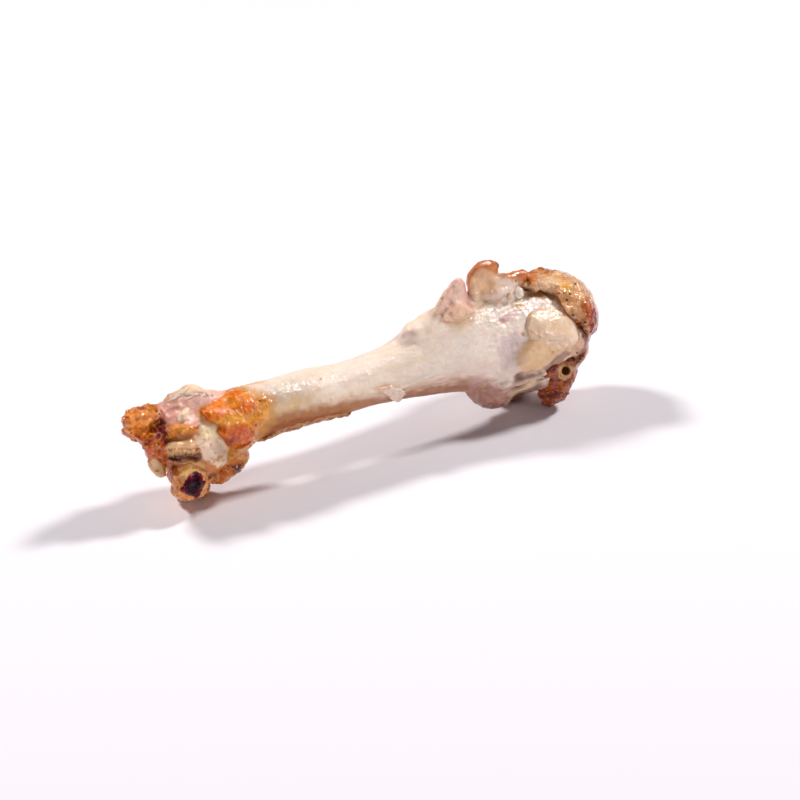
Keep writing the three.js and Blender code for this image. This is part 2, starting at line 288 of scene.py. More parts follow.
def surface(field, grid):
    """Naive surface nets: one vertex in each cell that the surface crosses, one quad across each crossed edge."""
    f = np.ascontiguousarray(np.broadcast_to(field, grid.shape)).astype(F)
    f[[0, -1]] = np.maximum(f[[0, -1]], F(0.01))
    f[:, [0, -1]] = np.maximum(f[:, [0, -1]], F(0.01))
    f[:, :, [0, -1]] = np.maximum(f[:, :, [0, -1]], F(0.01))
    f = np.where(np.abs(f) < 1e-6, F(1e-6), f)
    ins = f < 0
    nx, ny, nz = f.shape
    count = np.zeros((nx - 1, ny - 1, nz - 1), np.int8)
    for a in (0, 1):
        for b in (0, 1):
            for c in (0, 1):
                count += ins[a:nx - 1 + a, b:ny - 1 + b, c:nz - 1 + c]
    act = (count > 0) & (count < 8)
    ids = np.full(act.shape, -1, np.int64)
    I = np.argwhere(act)
    ids[act] = np.arange(len(I))
    val = {}
    for a in (0, 1):
        for b in (0, 1):
            for c in (0, 1):
                val[a, b, c] = f[I[:, 0] + a, I[:, 1] + b, I[:, 2] + c]
    tot = np.zeros((len(I), 3))
    num = np.zeros(len(I))
    for p in val:
        for k in range(3):
            if p[k]:
                continue
            q = tuple(1 if j == k else p[j] for j in range(3))
            v0, v1 = val[p], val[q]
            m = (v0 < 0) != (v1 < 0)
            t = np.where(m, v0 / np.where(m, v0 - v1, 1), 0)
            pos = np.tile(np.array(p, float), (len(I), 1))
            pos[:, k] += t
            tot += pos * m[:, None]
            num += m
    verts = grid.lo + grid.step * (I + tot / num[:, None])
    quads = []
    for k in range(3):
        sl0 = [slice(None)] * 3
        sl1 = [slice(None)] * 3
        sl0[k] = slice(0, f.shape[k] - 1)
        sl1[k] = slice(1, f.shape[k])
        a, b = ins[tuple(sl0)], ins[tuple(sl1)]
        e = np.argwhere(a != b)
        u, v = [(1, 2), (2, 0), (0, 1)][k]
        ok = (e[:, u] > 0) & (e[:, v] > 0) & (e[:, u] < f.shape[u] - 1) & (e[:, v] < f.shape[v] - 1)
        e = e[ok]
        inside = a[e[:, 0], e[:, 1], e[:, 2]]

        def at(du, dv):
            c = e.copy()
            c[:, u] += du
            c[:, v] += dv
            return ids[c[:, 0], c[:, 1], c[:, 2]]

        q = np.stack([at(-1, -1), at(0, -1), at(0, 0), at(-1, 0)], 1)
        q = np.where(inside[:, None], q, q[:, ::-1])
        quads.append(q)
    return verts, np.concatenate(quads)


def largest_part(v, q, keep=1):
    """Keeps the biggest connected parts."""
    lab = np.arange(len(v))
    e = np.concatenate([q[:, [0, 1]], q[:, [1, 2]], q[:, [2, 3]], q[:, [3, 0]]])
    while True:
        m = np.minimum(lab[e[:, 0]], lab[e[:, 1]])
        new = lab.copy()
        np.minimum.at(new, e[:, 0], m)
        np.minimum.at(new, e[:, 1], m)
        new = new[new]
        new = new[new]
        if (new == lab).all():
            break
        lab = new
    names, inv, num = np.unique(lab, return_inverse=True, return_counts=True)
    good = np.argsort(-num)[:keep]
    m = np.isin(inv, good)
    ids = np.cumsum(m) - 1
    q = q[m[q[:, 0]]]
    return v[m], ids[q]


def normals(v, q):
    n = np.zeros_like(v)
    d = np.cross(v[q[:, 2]] - v[q[:, 0]], v[q[:, 3]] - v[q[:, 1]])
    for k in range(4):
        for j in range(3):
            n[:, j] += np.bincount(q[:, k], d[:, j], len(v))
    return n / np.maximum(np.linalg.norm(n, axis=1, keepdims=True), 1e-12)


def relax(v, q, rounds=1, share=0.5):
    e = np.concatenate([q[:, [0, 1]], q[:, [1, 2]], q[:, [2, 3]], q[:, [3, 0]]])
    deg = np.bincount(e[:, 0], minlength=len(v)).astype(float)
    for _ in range(rounds):
        s = np.stack([np.bincount(e[:, 0], v[e[:, 1], j], len(v)) for j in range(3)], 1)
        v = v + share * (s / deg[:, None] - v)
    return v


def hollowness(v, q, n, rounds=6):
    """How much each point lies below (positive) or above (negative) its neighbourhood, mm."""
    s = relax(v, q, rounds, 0.6)
    return ((s - v) * n).sum(1)


# ---------------------------------------------------------------- colour helpers


def rgb(*c):
    c = np.array(c, float) / 255
    return np.where(c <= 0.04045, c / 12.92, ((c + 0.055) / 1.055) ** 2.4)


def mix(a, b, m):
    m = np.clip(np.asarray(m, float), 0, 1)
    a, b = np.asarray(a, float), np.asarray(b, float)
    if m.ndim:
        m = m[:, None]
    return a * (1 - m) + b * m


def step(x, lo, hi):
    t = np.clip((x - lo) / (hi - lo), 0, 1)
    return t * t * (3 - 2 * t)


def zone(p, at, radii, turn=(0, 0, 0), soft=1.0):
    """1 inside the ellipsoid, falling to 0 over soft mm outside its skin."""
    d = blob((p[:, 0].astype(F), p[:, 1].astype(F), p[:, 2].astype(F)), at, radii, turn)
    return 1 - step(d, -soft * 0.5, soft * 0.5)


# ---------------------------------------------------------------- pieces


VEIL = {}


def piece(name, v, q, colour, rough, material, nodes=()):
    me = bpy.data.meshes.new(name)
    co = ((v + SHIFT) / 1000).astype(F)
    me.vertices.add(len(co))
    me.vertices.foreach_set("co", co.ravel())
    w = q.shape[1]
    me.loops.add(q.size)
    me.loops.foreach_set("vertex_index", q.ravel().astype(np.int32))
    me.polygons.add(len(q))
    me.polygons.foreach_set("loop_start", np.arange(0, q.size, w, dtype=np.int32))
    me.polygons.foreach_set("loop_total", np.full(len(q), w, np.int32))
    me.polygons.foreach_set("use_smooth", np.ones(len(q), bool))
    me.update(calc_edges=True)
    me.validate()
    col = me.color_attributes.new("Col", "FLOAT_COLOR", "POINT")
    c = np.ones((len(v), 4), F)
    c[:, :3] = np.clip((colour - VEIL.get(material.name, 0.02)) * 1.06, 0.003, 0.96)
    col.data.foreach_set("color", c.ravel())
    fin = me.attributes.new("Rough", "FLOAT", "POINT")
    fin.data.foreach_set("value", np.broadcast_to(np.asarray(rough, F), (len(v),)).astype(F).copy())
    me.materials.append(material)
    o = bpy.data.objects.new(name, me)
    bpy.context.scene.collection.objects.link(o)
    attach(o, "root")
    if nodes:
        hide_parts(*nodes)
    print(f"  {name}: {len(v)} points, {len(q) * (w - 2)} triangles, {time.time() - T0:.1f} s")
    return o


def flesh(name, sss=0.3, radius=(1.0, 0.42, 0.25), depth=1.0, coat=0.3, coat_rough=0.12, ior=1.42, bumps=((0.45, 0.012),), glints=((0.4, 0.03),), tint=(0.35, 0.10), rough_var=0.10, level=0.4):
    """A moist tissue: colour and roughness from the mesh's zones, light soaking in, a thin greasy coat with glints of its own, and fine relief of (size mm, height mm) pairs."""
    m = bpy.data.materials.new(name)
    m.use_nodes = True
    t = m.node_tree
    t.nodes.clear()
    out = t.nodes.new("ShaderNodeOutputMaterial")
    b = t.nodes.new("ShaderNodeBsdfPrincipled")
    t.links.new(b.outputs[0], out.inputs[0])
    b.inputs["Subsurface Weight"].default_value = sss
    b.inputs["Subsurface Radius"].default_value = radius
    b.inputs["Subsurface Scale"].default_value = depth / 1000
    b.inputs["Coat Roughness"].default_value = coat_rough
    b.inputs["IOR"].default_value = ior
    b.inputs["Specular IOR Level"].default_value = level
    where = t.nodes.new("ShaderNodeTexCoord")

    def wave(size, detail=2.0, stretch=None):
        n = t.nodes.new("ShaderNodeTexNoise")
        n.inputs["Scale"].default_value = 1000 / size
        n.inputs["Detail"].default_value = detail
        if stretch:
            mp = t.nodes.new("ShaderNodeMapping")
            mp.inputs["Scale"].default_value = stretch
            t.links.new(where.outputs["Object"], mp.inputs["Vector"])
            t.links.new(mp.outputs[0], n.inputs["Vector"])
        else:
            t.links.new(where.outputs["Object"], n.inputs["Vector"])
        return n.outputs["Fac"]

    def math_node(op, a, c=None, d=None):
        n = t.nodes.new("ShaderNodeMath")
        n.operation = op
        for k, x in enumerate((a, c, d)):
            if x is None:
                continue
            if isinstance(x, (int, float)):
                n.inputs[k].default_value = x
            else:
                t.links.new(x, n.inputs[k])
        return n.outputs[0]

    def relief(pairs):
        height = 0.0
        for pair in pairs:
            height = math_node("MULTIPLY_ADD", wave(pair[0], 2, pair[2] if len(pair) > 2 else None), pair[1] / 1000 * 2, height)
        n = t.nodes.new("ShaderNodeBump")
        n.inputs["Strength"].default_value = 1.0
        n.inputs["Distance"].default_value = 1.0
        t.links.new(height, n.inputs["Height"])
        return n.outputs[0]

    col = t.nodes.new("ShaderNodeAttribute")
    col.attribute_name = "Col"
    var = math_node("MULTIPLY_ADD", wave(tint[0], 4), 2 * tint[1], 1 - tint[1])
    mul = t.nodes.new("ShaderNodeVectorMath")
    mul.operation = "SCALE"
    t.links.new(col.outputs["Color"], mul.inputs[0])
    t.links.new(var, mul.inputs["Scale"])
    t.links.new(mul.outputs[0], b.inputs["Base Color"])
    fin = t.nodes.new("ShaderNodeAttribute")
    fin.attribute_name = "Rough"
    r = math_node("MULTIPLY_ADD", wave(0.9, 3), 2 * rough_var, -rough_var)
    r = math_node("ADD", r, fin.outputs["Fac"])
    cl = t.nodes.new("ShaderNodeClamp")
    t.links.new(r, cl.inputs[0])
    cl.inputs[1].default_value = 0.06
    cl.inputs[2].default_value = 1.0
    t.links.new(cl.outputs[0], b.inputs["Roughness"])
    wet = math_node("MULTIPLY_ADD", fin.outputs["Fac"], -5.5, 2.75)
    cw = t.nodes.new("ShaderNodeClamp")
    t.links.new(wet, cw.inputs[0])
    cw.inputs[1].default_value = 0.25
    cw.inputs[2].default_value = 1.0
    t.links.new(math_node("MULTIPLY", cw.outputs[0], coat), b.inputs["Coat Weight"])
    t.links.new(relief(bumps), b.inputs["Normal"])
    t.links.new(relief(glints), b.inputs["Coat Normal"])
    return m


def P_of(v):
    return (v[:, 0].astype(F), v[:, 1].astype(F), v[:, 2].astype(F))


def grow_mesh(lo, hi, step_mm, field, keep=1, smooth=1):
    g = Grid(lo, hi, step_mm)
    v, q = surface(field(g.P), g)
    v, q = largest_part(v, q, keep)
    if smooth:
        v = relax(v, q, smooth, 0.4)
    return v, q


floor_cut = lambda d, P: np.maximum(d, -P[2])


def wobble(P, size, amount, seed=0):
    """Noise on a whole grid, worked out at each of its points."""
    shape = np.broadcast_shapes(P[0].shape, P[1].shape, P[2].shape)
    pts = np.stack([np.broadcast_to(a, shape).ravel() for a in P], 1)
    return F(amount) * noise(pts, size, seed).reshape(shape)


def taper(area, reach):
    """0 at an area's edge, 1 from reach mm inside it."""
    return np.sqrt(np.clip(-area / reach, 0, 1))


def inside_box(d, P, lo, hi, work):
    """Does work(part of d, part of P) on the part of a grid between two corners."""
    cut = []
    for k in range(3):
        a = P[k].ravel()
        cut.append(slice(int(np.searchsorted(a, lo[k])), int(np.searchsorted(a, hi[k]))))
    d = np.ascontiguousarray(d)
    Q = (P[0][cut[0]], P[1][:, cut[1]], P[2][:, :, cut[2]])
    d[tuple(cut)] = work(d[tuple(cut)], Q)
    return d


# ---------------------------------------------------------------- placing by what the view shows

TREES = {}


def stand(name, v, q):
    TREES[name] = BVHTree.FromPolygons(v.tolist(), q.tolist())


def hit(o, d, who):
    best = None
    for k in who or TREES:
        loc, nor, _, far = TREES[k].ray_cast(Vector(o), Vector(d))
        if loc is not None and (best is None or far < best[2]):
            best = (np.array(loc), np.array(nor), far)
    return best


def on(px, py, who=None):
    """Point and normal of the surface that the view shows at that place."""
    d = RIGHT * (px - 400) / FOCAL - UP * (py - 400) / FOCAL - BACK
    got = hit(EYE, d / np.linalg.norm(d), who)
    return got if got else (np.array(at(px, py)), -np.array(d) / np.linalg.norm(d), 0)


def place(m, who):
    return on(m[0], m[1], who)[0] if len(m) == 2 else np.array(m, float)


def stroke(p, marks, radius, soft=1.0, ragged=0.0, seed=0, who=("bone",)):
    """1 near a line over the surface, 0 away from it. A mark is a place in the view, or a point in mm."""
    pts = [place(m, who) for m in marks]
    if len(pts) == 1:
        pts = pts * 2
    best = np.full(len(p), 1e9)
    for a, b in zip(pts, pts[1:]):
        ab = b - a
        t = np.clip(((p - a) @ ab) / max(float(ab @ ab), 1e-9), 0, 1)
        best = np.minimum(best, ((p - a - t[:, None] * ab) ** 2).sum(1))
    d = np.sqrt(best) - radius
    if ragged:
        d = d + ragged * fbm(p, 1.3, 3, 40 + seed)
    return 1 - step(d, -soft / 2, soft / 2)


def octa(level):
    v = [(1, 0, 0), (-1, 0, 0), (0, 1, 0), (0, -1, 0), (0, 0, 1), (0, 0, -1)]
    f = [(0, 2, 4), (2, 1, 4), (1, 3, 4), (3, 0, 4), (2, 0, 5), (1, 2, 5), (3, 1, 5), (0, 3, 5)]
    v = [np.array(a, float) for a in v]
    for _ in range(level):
        mid, g = {}, []
        for a, b, c in f:
            m = []
            for i, j in ((a, b), (b, c), (c, a)):
                key = (min(i, j), max(i, j))
                if key not in mid:
                    w = v[i] + v[j]
                    v.append(w / np.linalg.norm(w))
                    mid[key] = len(v) - 1
                m.append(mid[key])
            g += [(a, m[0], m[2]), (m[0], b, m[1]), (m[2], m[1], c), (m[0], m[1], m[2])]
        f = g
    return np.array(v), np.array(f)


BALL2, BALL3 = octa(2), octa(3)


def lump(at, nor, size, flatness=0.55, seed=0, ball=None, rough=0.35):
    """A small uneven grain lying on a surface."""
    v, f = ball or BALL2
    r = np.random.default_rng(seed + 900)
    nor = np.array(nor) / np.linalg.norm(nor)
    t = np.cross(nor, r.normal(size=3))
    t /= np.linalg.norm(t)
    b = np.cross(nor, t)
    bump = 1 + rough * noise((v * 1.3 + 7 * seed).astype(F), 0.9, seed % 17)
    w = v * bump[:, None] * np.array([size * r.uniform(0.8, 1.25), size * r.uniform(0.7, 1.05), size * flatness])
    return np.array(at) + w[:, :1] * t + w[:, 1:2] * b + w[:, 2:] * nor, f


def curve(points, n):
    P = np.array(points, float)
    if len(P) == 2:
        t = np.linspace(0, 1, n)[:, None]
        return P[0] * (1 - t) + P[1] * t
    t = np.linspace(0, len(P) - 1, n)
    i = np.minimum(t.astype(int), len(P) - 2)
    f = (t - i)[:, None]
    E = np.vstack([2 * P[0] - P[1], P, 2 * P[-1] - P[-2]])
    a, b, c, d = E[i], E[i + 1], E[i + 2], E[i + 3]
    return 0.5 * (2 * b + (c - a) * f + (2 * a - 5 * b + 4 * c - d) * f ** 2 + (3 * b - a - 3 * c + d) * f ** 3)


def strand(points, radii, sides=7, n=None, flat=1.0, side=(0, -1, 0)):
    """A closed tube of round or flattened section along a smooth line."""
    n = n or 6 * len(points)
    c = curve(points, n)
    r = np.interp(np.linspace(0, 1, n), np.linspace(0, 1, len(radii)), radii)
    tan = np.gradient(c, axis=0)
    tan /= np.linalg.norm(tan, axis=1, keepdims=True)
    u = np.cross(tan, np.array(side, float))
    u /= np.maximum(np.linalg.norm(u, axis=1, keepdims=True), 1e-6)
    w = np.cross(tan, u)
    ang = np.linspace(0, 2 * math.pi, sides, endpoint=False)
    ring = c[:, None] + r[:, None, None] * (np.cos(ang)[None, :, None] * u[:, None] + flat * np.sin(ang)[None, :, None] * w[:, None])
    v = np.vstack([ring.reshape(-1, 3), c[0] - tan[0] * r[0] * 0.6, c[-1] + tan[-1] * r[-1] * 0.6])
    f = []
    for k in range(n - 1):
        for j in range(sides):
            a, b = k * sides + j, k * sides + (j + 1) % sides
            f += [(a, b, b + sides), (a, b + sides, a + sides)]
    for j in range(sides):
        f += [(n * sides, (j + 1) % sides, j), (n * sides + 1, (n - 1) * sides + j, (n - 1) * sides + (j + 1) % sides)]
    f = np.array(f)
    tri = v[f]
    if np.einsum("ij,ij->i", tri[:, 0] - v.mean(0), np.cross(tri[:, 1] - tri[:, 0], tri[:, 2] - tri[:, 0])).sum() < 0:
        f = f[:, ::-1]
    return v, f


def join(parts):
    v, f, n = [], [], 0
    for a, b in parts:
        v.append(a)
        f.append(b + n)
        n += len(a)
    return np.vstack(v), np.vstack(f)


def tinted(parts, colours):
    return np.vstack([np.broadcast_to(c, (len(a), 3)) for (a, _), c in zip(parts, colours)])


def pebbles(p, size, seed):
    """Rounded grains with creases between, 0 to 1."""
    d1, d2, who = cells(p.astype(F), size, seed)
    return np.clip(1 - 1.15 * d1, 0, 1) * (0.55 + 0.9 * who) * step(d2 - d1, 0.0, 0.25)


# ---------------------------------------------------------------- finishes

BONE = flesh("bone_moist", sss=0.22, radius=(1.0, 0.6, 0.42), depth=0.9, coat=1.0, coat_rough=0.10,
             bumps=((1.2, 0.06, (0.35, 1, 1)), (0.5, 0.035), (0.28, 0.010)), glints=((0.75, 0.14), (0.42, 0.045)), tint=(0.8, 0.09), rough_var=0.25, level=0.2)
CARTILAGE = flesh("cartilage_glassy", sss=0.4, radius=(1.2, 0.7, 0.45), depth=1.4, coat=1.0, coat_rough=0.09,
                  bumps=((1.0, 0.06), (0.4, 0.02)), glints=((0.8, 0.12), (0.42, 0.035)), tint=(1.0, 0.06), rough_var=0.2, level=0.2)
CRUST = flesh("skin_browned", sss=0.3, radius=(1.0, 0.5, 0.25), depth=1.0, coat=1.0, coat_rough=0.09,
              bumps=((0.9, 0.11), (0.45, 0.06), (0.24, 0.012)), glints=((0.75, 0.18), (0.42, 0.05)), tint=(0.5, 0.24), rough_var=0.25, level=0.15)
ORANGE = flesh("skin_orange_greasy", sss=0.25, radius=(1.0, 0.42, 0.14), depth=0.9, coat=1.0, coat_rough=0.08,
               bumps=((0.9, 0.11), (0.45, 0.06), (0.24, 0.012)), glints=((0.7, 0.18), (0.4, 0.05)), tint=(0.5, 0.22), rough_var=0.25, level=0.15)
GRISTLE_MAT = flesh("gristle_browned", sss=0.12, radius=(1.0, 0.45, 0.22), depth=0.7, coat=1.0, coat_rough=0.10,
                    bumps=((0.9, 0.12), (0.45, 0.05)), glints=((0.75, 0.16), (0.42, 0.045)), tint=(0.6, 0.24), rough_var=0.3, level=0.1)
MEAT = flesh("meat_moist", sss=0.4, radius=(1.1, 0.6, 0.45), depth=1.2, coat=1.0, coat_rough=0.10,
             bumps=((1.1, 0.10, (1, 1, 0.35)), (0.4, 0.04)), glints=((0.85, 0.12), (0.45, 0.03)), tint=(0.7, 0.14), rough_var=0.3, level=0.2)
FILM = flesh("membrane_film", sss=0.5, radius=(1.0, 0.72, 0.5), depth=1.0, coat=1.0, coat_rough=0.08,
             bumps=((0.9, 0.08), (0.4, 0.03)), glints=((0.8, 0.12), (0.42, 0.03)), tint=(0.7, 0.10), rough_var=0.2, level=0.2)
SPECK = flesh("pepper", sss=0.0, depth=0.1, coat=0.1, coat_rough=0.3, bumps=((0.2, 0.03),), glints=((0.2, 0.03),), tint=(0.2, 0.2), rough_var=0.1, level=0.2)
BURNT = flesh("burnt_wet", sss=0.0, depth=0.1, coat=0.35, coat_rough=0.07, bumps=((0.7, 0.12), (0.35, 0.05)), glints=((0.6, 0.16), (0.35, 0.06)), tint=(0.4, 0.5), rough_var=0.1, level=0.0)
VEIL.update({CRUST.name: 0.044, ORANGE.name: 0.036, GRISTLE_MAT.name: 0.03, SPECK.name: 0.01, BURNT.name: 0.004})

# ---------------------------------------------------------------- the shapes of what hangs on the bone

# outlines of parts, as the view shows them (places in its 800 x 800 frame)
SILHOUETTE = [(440, 225), (496.7, 233.3), (506.7, 273.3), (513.3, 270.3), (520, 267.7), (528.3, 268.7), (535, 268.7), (540.8, 266), (545.8, 268.3), (558.3, 269.7), (566.7, 272.3), (576.7, 276.7), (584.7, 283), (592, 291.3), (597, 301.7), (599.2, 313.3), (599.2, 324.2), (597.2, 332.3), (591.3, 335.3), (589.7, 343.3), (588.7, 353.3), (584.7, 360.8), (580.3, 366.7), (579.2, 383.3), (568.3, 416.7), (440, 433.3)]
BURN_OUT = [(181, 489.7), (184.3, 484.3), (187.9, 478.9), (191.7, 476), (194.3, 473.1), (198.3, 473.4), (201.4, 475.4), (202.3, 480.7), (205.4, 481.7), (203.6, 484.6), (201.7, 487.1), (202.1, 490.3), (198.9, 494), (197.4, 497.1), (195.1, 498.9), (192.6, 495.4), (188.3, 494), (184.9, 491.7)]
SKIN_OUT = [(199.1, 410.6), (205.5, 404.2), (214, 402.1), (222.6, 395.6), (227.6, 388.5), (235.4, 387.4), (242.5, 387.1), (248.9, 392.5), (253.9, 396.4), (261, 396.4), (268.2, 397.8), (271, 404.2), (269.9, 412.8), (268.5, 421.3), (263.9, 425.6), (258.9, 431.3), (258.2, 441.2), (254.2, 445.5), (252.5, 454.1), (250.4, 461.2), (242.5, 468.3), (232.5, 469.8), (228, 462.6), (226.8, 454.1), (229.7, 449.8), (224, 441.2), (216.9, 432.7), (219.7, 424.9), (208.3, 420.6), (201.9, 415.6)]
POUCH_OUT = [(148, 461.4), (149.3, 457.4), (153.6, 455.4), (158.6, 459.3), (162.1, 464.3), (165, 470), (165.4, 475.4), (161.4, 476.9), (156.4, 475.4), (151.4, 470), (148.6, 465.7)]
POUCH_IN = [(151.1, 463.6), (152.9, 460.3), (156, 461.4), (158.3, 465.4), (159.4, 470), (157.1, 472.3), (153.6, 470), (151.7, 467.1)]
GAP_OUT = [(516.7, 374.2), (531.7, 372.5), (542.5, 370.3), (556.7, 357.5), (567, 350.3), (572, 353), (565.8, 360), (559.2, 370), (550, 378.3), (533.3, 381.7), (518.3, 383.3), (511.7, 383.3)]
LOBE_OUT = [(122.1, 419.9), (125.7, 414.9), (133.5, 409.2), (138.5, 407.3), (147.8, 404.9), (157.7, 406.3), (159.2, 414.2), (157, 427), (159.9, 441.2), (147.1, 444.1), (137.1, 438.1), (127.1, 435.8), (122.1, 433), (121.1, 430.1), (124.2, 427.3), (122, 424.1)]
SCRAP_OUT = [(376.5, 386.5), (383, 388), (387, 385.4), (391, 385.2), (396, 388.2), (402.6, 389.6), (405, 393), (403, 398.5), (399, 402.4), (393, 401), (388, 396.6), (383.6, 393.4), (378, 391)]
CRUMB_OUT = [(137.1, 437.7), (157, 432.7), (167, 437), (167.7, 446.9), (166.3, 461.2), (163.9, 469.8), (157.7, 457.2), (148.5, 457.2), (145.6, 449.8), (143.5, 444.1)]
KNOB_OUT = [(165.3, 461.2), (172.7, 460.6), (177, 463.3), (181.2, 461.2), (189.8, 459.8), (198.3, 461.2), (204.1, 466.9), (210.5, 472.6), (211.5, 481.1), (208.6, 489), (204.8, 496.1), (201.2, 500), (195.5, 500.7), (181.2, 502.1), (174.1, 498.5), (170.6, 492.8), (171.3, 484), (167.7, 478.3), (164.9, 469.8)]
FOLD_OUT = [(209.8, 469.8), (222.6, 464.1), (224, 449.8), (238.2, 441.2), (254.6, 438.4), (254.2, 449.8), (251.1, 461.9), (244.7, 469), (236.8, 474.7), (231.1, 479), (222.6, 484.7), (212.6, 488.3), (208.3, 481.1)]
HOOD_OUT = [(504.3, 277.3), (513.4, 280.7), (522.6, 284), (527.5, 288.9), (535.8, 293.4), (540, 290.6), (547.4, 292.3), (555.7, 296.4), (562.3, 304.7), (565.6, 313), (572.3, 316.3), (577.2, 322.9), (584.2, 332.9), (585.2, 342.8), (582.2, 352.7), (576.4, 362.7), (595.5, 369.3), (615.4, 316.3), (597.1, 259.9), (539.1, 253.3), (502.7, 263.3)]
MEAT_OUT = [(431.4, 311.6), (437.2, 302.7), (444.7, 291.1), (451.6, 280.7), (456.3, 278.5), (461.3, 278.2), (464.6, 283.1), (465.7, 291.4), (468.7, 298.9), (472.9, 307.2), (469.5, 314.6), (448, 317.1), (433.4, 317.9)]
LENS_OUT = [(442.5, 317.5), (447.5, 308.5), (454, 303.6), (461.5, 303), (468, 307.5), (474.2, 312), (468.5, 316.8), (458.5, 321.4), (449, 321.8)]
CURL_OUT = [(466.6, 283.1), (467.2, 275.2), (469.9, 270.5), (473.2, 266.2), (478.6, 262.4), (485.3, 260.3), (491.4, 259.8), (496.4, 261.9), (498.9, 264.9), (498, 268.9), (496, 274.5), (497.7, 283.1), (496, 299.7), (482.8, 307.2), (472, 307.2), (469.2, 298.1), (467.2, 290.6)]
GRISTLE_OUT = [(538.3, 373.4), (544.1, 368.5), (557.4, 362.7), (565.6, 357.7), (573.9, 358.5), (578.6, 368.5), (576.9, 378.4), (572.3, 383.4), (566, 394.5), (558.2, 404.1), (549.1, 409.1), (543.3, 404.1), (540, 394.2), (538, 382.6)]

CURL = [(20.3, -0.8, 17.4, 2.2, 1.3), (20.2, -0.6, 19.8, 2.4, 1.0), (20.4, -0.3, 21.8, 2.5, 0.85), (20.9, 0.0, 23.3, 2.6, 0.75), (21.8, 0.2, 24.4, 2.1, 0.7), (22.9, 0.3, 24.9, 1.3, 0.6)]
CURL_WEB = dict(at=(23.9, -0.6, 20.9), radii=(3.2, 1.7, 1.9), turn=(0, 6, 0))
POCKET = dict(at=(28.8, -3.6, 19.2), radii=(3.2, 3.2, 0.85), turn=(0, 12, 0))
VEIN = dict(at=(32.7, -6.3, 7.5), aim=(-0.40, -0.8, 0.44))


def slab(P, points, depth, half, soft):
    """A rounded slab with that outline in the view, its middle at a depth and half a thickness (mm, or fields)."""
    return soft_max(outline(P, points), np.abs(P[1] - depth) - half, soft)


def curl_shape(P):
    mid = -0.1 + 0.10 * (P[2] - F(20.0))
    front = slab(P, CURL_OUT, mid, F(1.15) + 0.3 * step(-P[2], -20.5, -17.5), 1.3)
    return soft_max(front, -blob(P, (22.0, -2.9, 22.6), (2.6, 1.7, 2.3), (0, -20, 0)), 0.7)


def web_shape(P):
    web = soft_min(blob(P, **CURL_WEB), rod(P, (24.5, -0.4, 22.0), (28.5, -0.4, 22.2), 1.3, 1.0), 1.0)
    return soft_max(web, -blob(P, (24.6, -2.9, 22.4), (2.4, 1.5, 1.1)), 0.6)


def meat_shape(P):
    fin = slab(P, MEAT_OUT, F(-0.4), F(1.15) + 0.5 * step(-P[2], -21.5, -17.5), 1.1)
    lens = soft_max(outline(P, LENS_OUT) - F(0.1), np.abs(P[1] + F(1.65)) - F(0.7), 0.5)
    return soft_min(fin, lens, 0.5)


def tip_shape(P):
    d = slab(P, LOBE_OUT, F(0.3), F(2.5), 1.9)
    d = soft_min(d, slab(P, CRUMB_OUT, F(-1.4), F(2.3), 1.3), 0.8)
    d = soft_min(d, rod(P, at(168, 433, -3.3), at(182, 430, -4.1), 0.8, 0.75), 0.8)
    return soft_min(d, rod(P, at(182, 430, -4.1), at(197, 427, -4.5), 0.7, 0.35), 0.6)


def knob_shape(P):
    d = blob(P, **KNOB)
    d = soft_min(d, blob(P, (-31.9, -3.0, 4.95), (3.2, 2.9, 3.15), (0, 8, 0)), 1.0)
    d = soft_max(d, outline(P, KNOB_OUT) + F(0.1), 1.1)
    return soft_min(d, rod(P, at(208, 476, -2.5), at(224, 472, -2.5), 1.2, 0.9), 0.9)


def elbow(P):
    """The bone's own surface near the elbow, which the skin there lies on."""
    d = soft_min(loft(P), blob(P, **CONDYLE_UPPER), 1.2)
    return soft_min(d, blob(P, (-28.5, -0.1, 7.6), (3.7, 4.9, 3.7)), 1.0)


LIP = [at(166, 447, -3.9), at(176, 446, -4.4), at(190, 445, -4.8), at(206, 437, -5.0)]


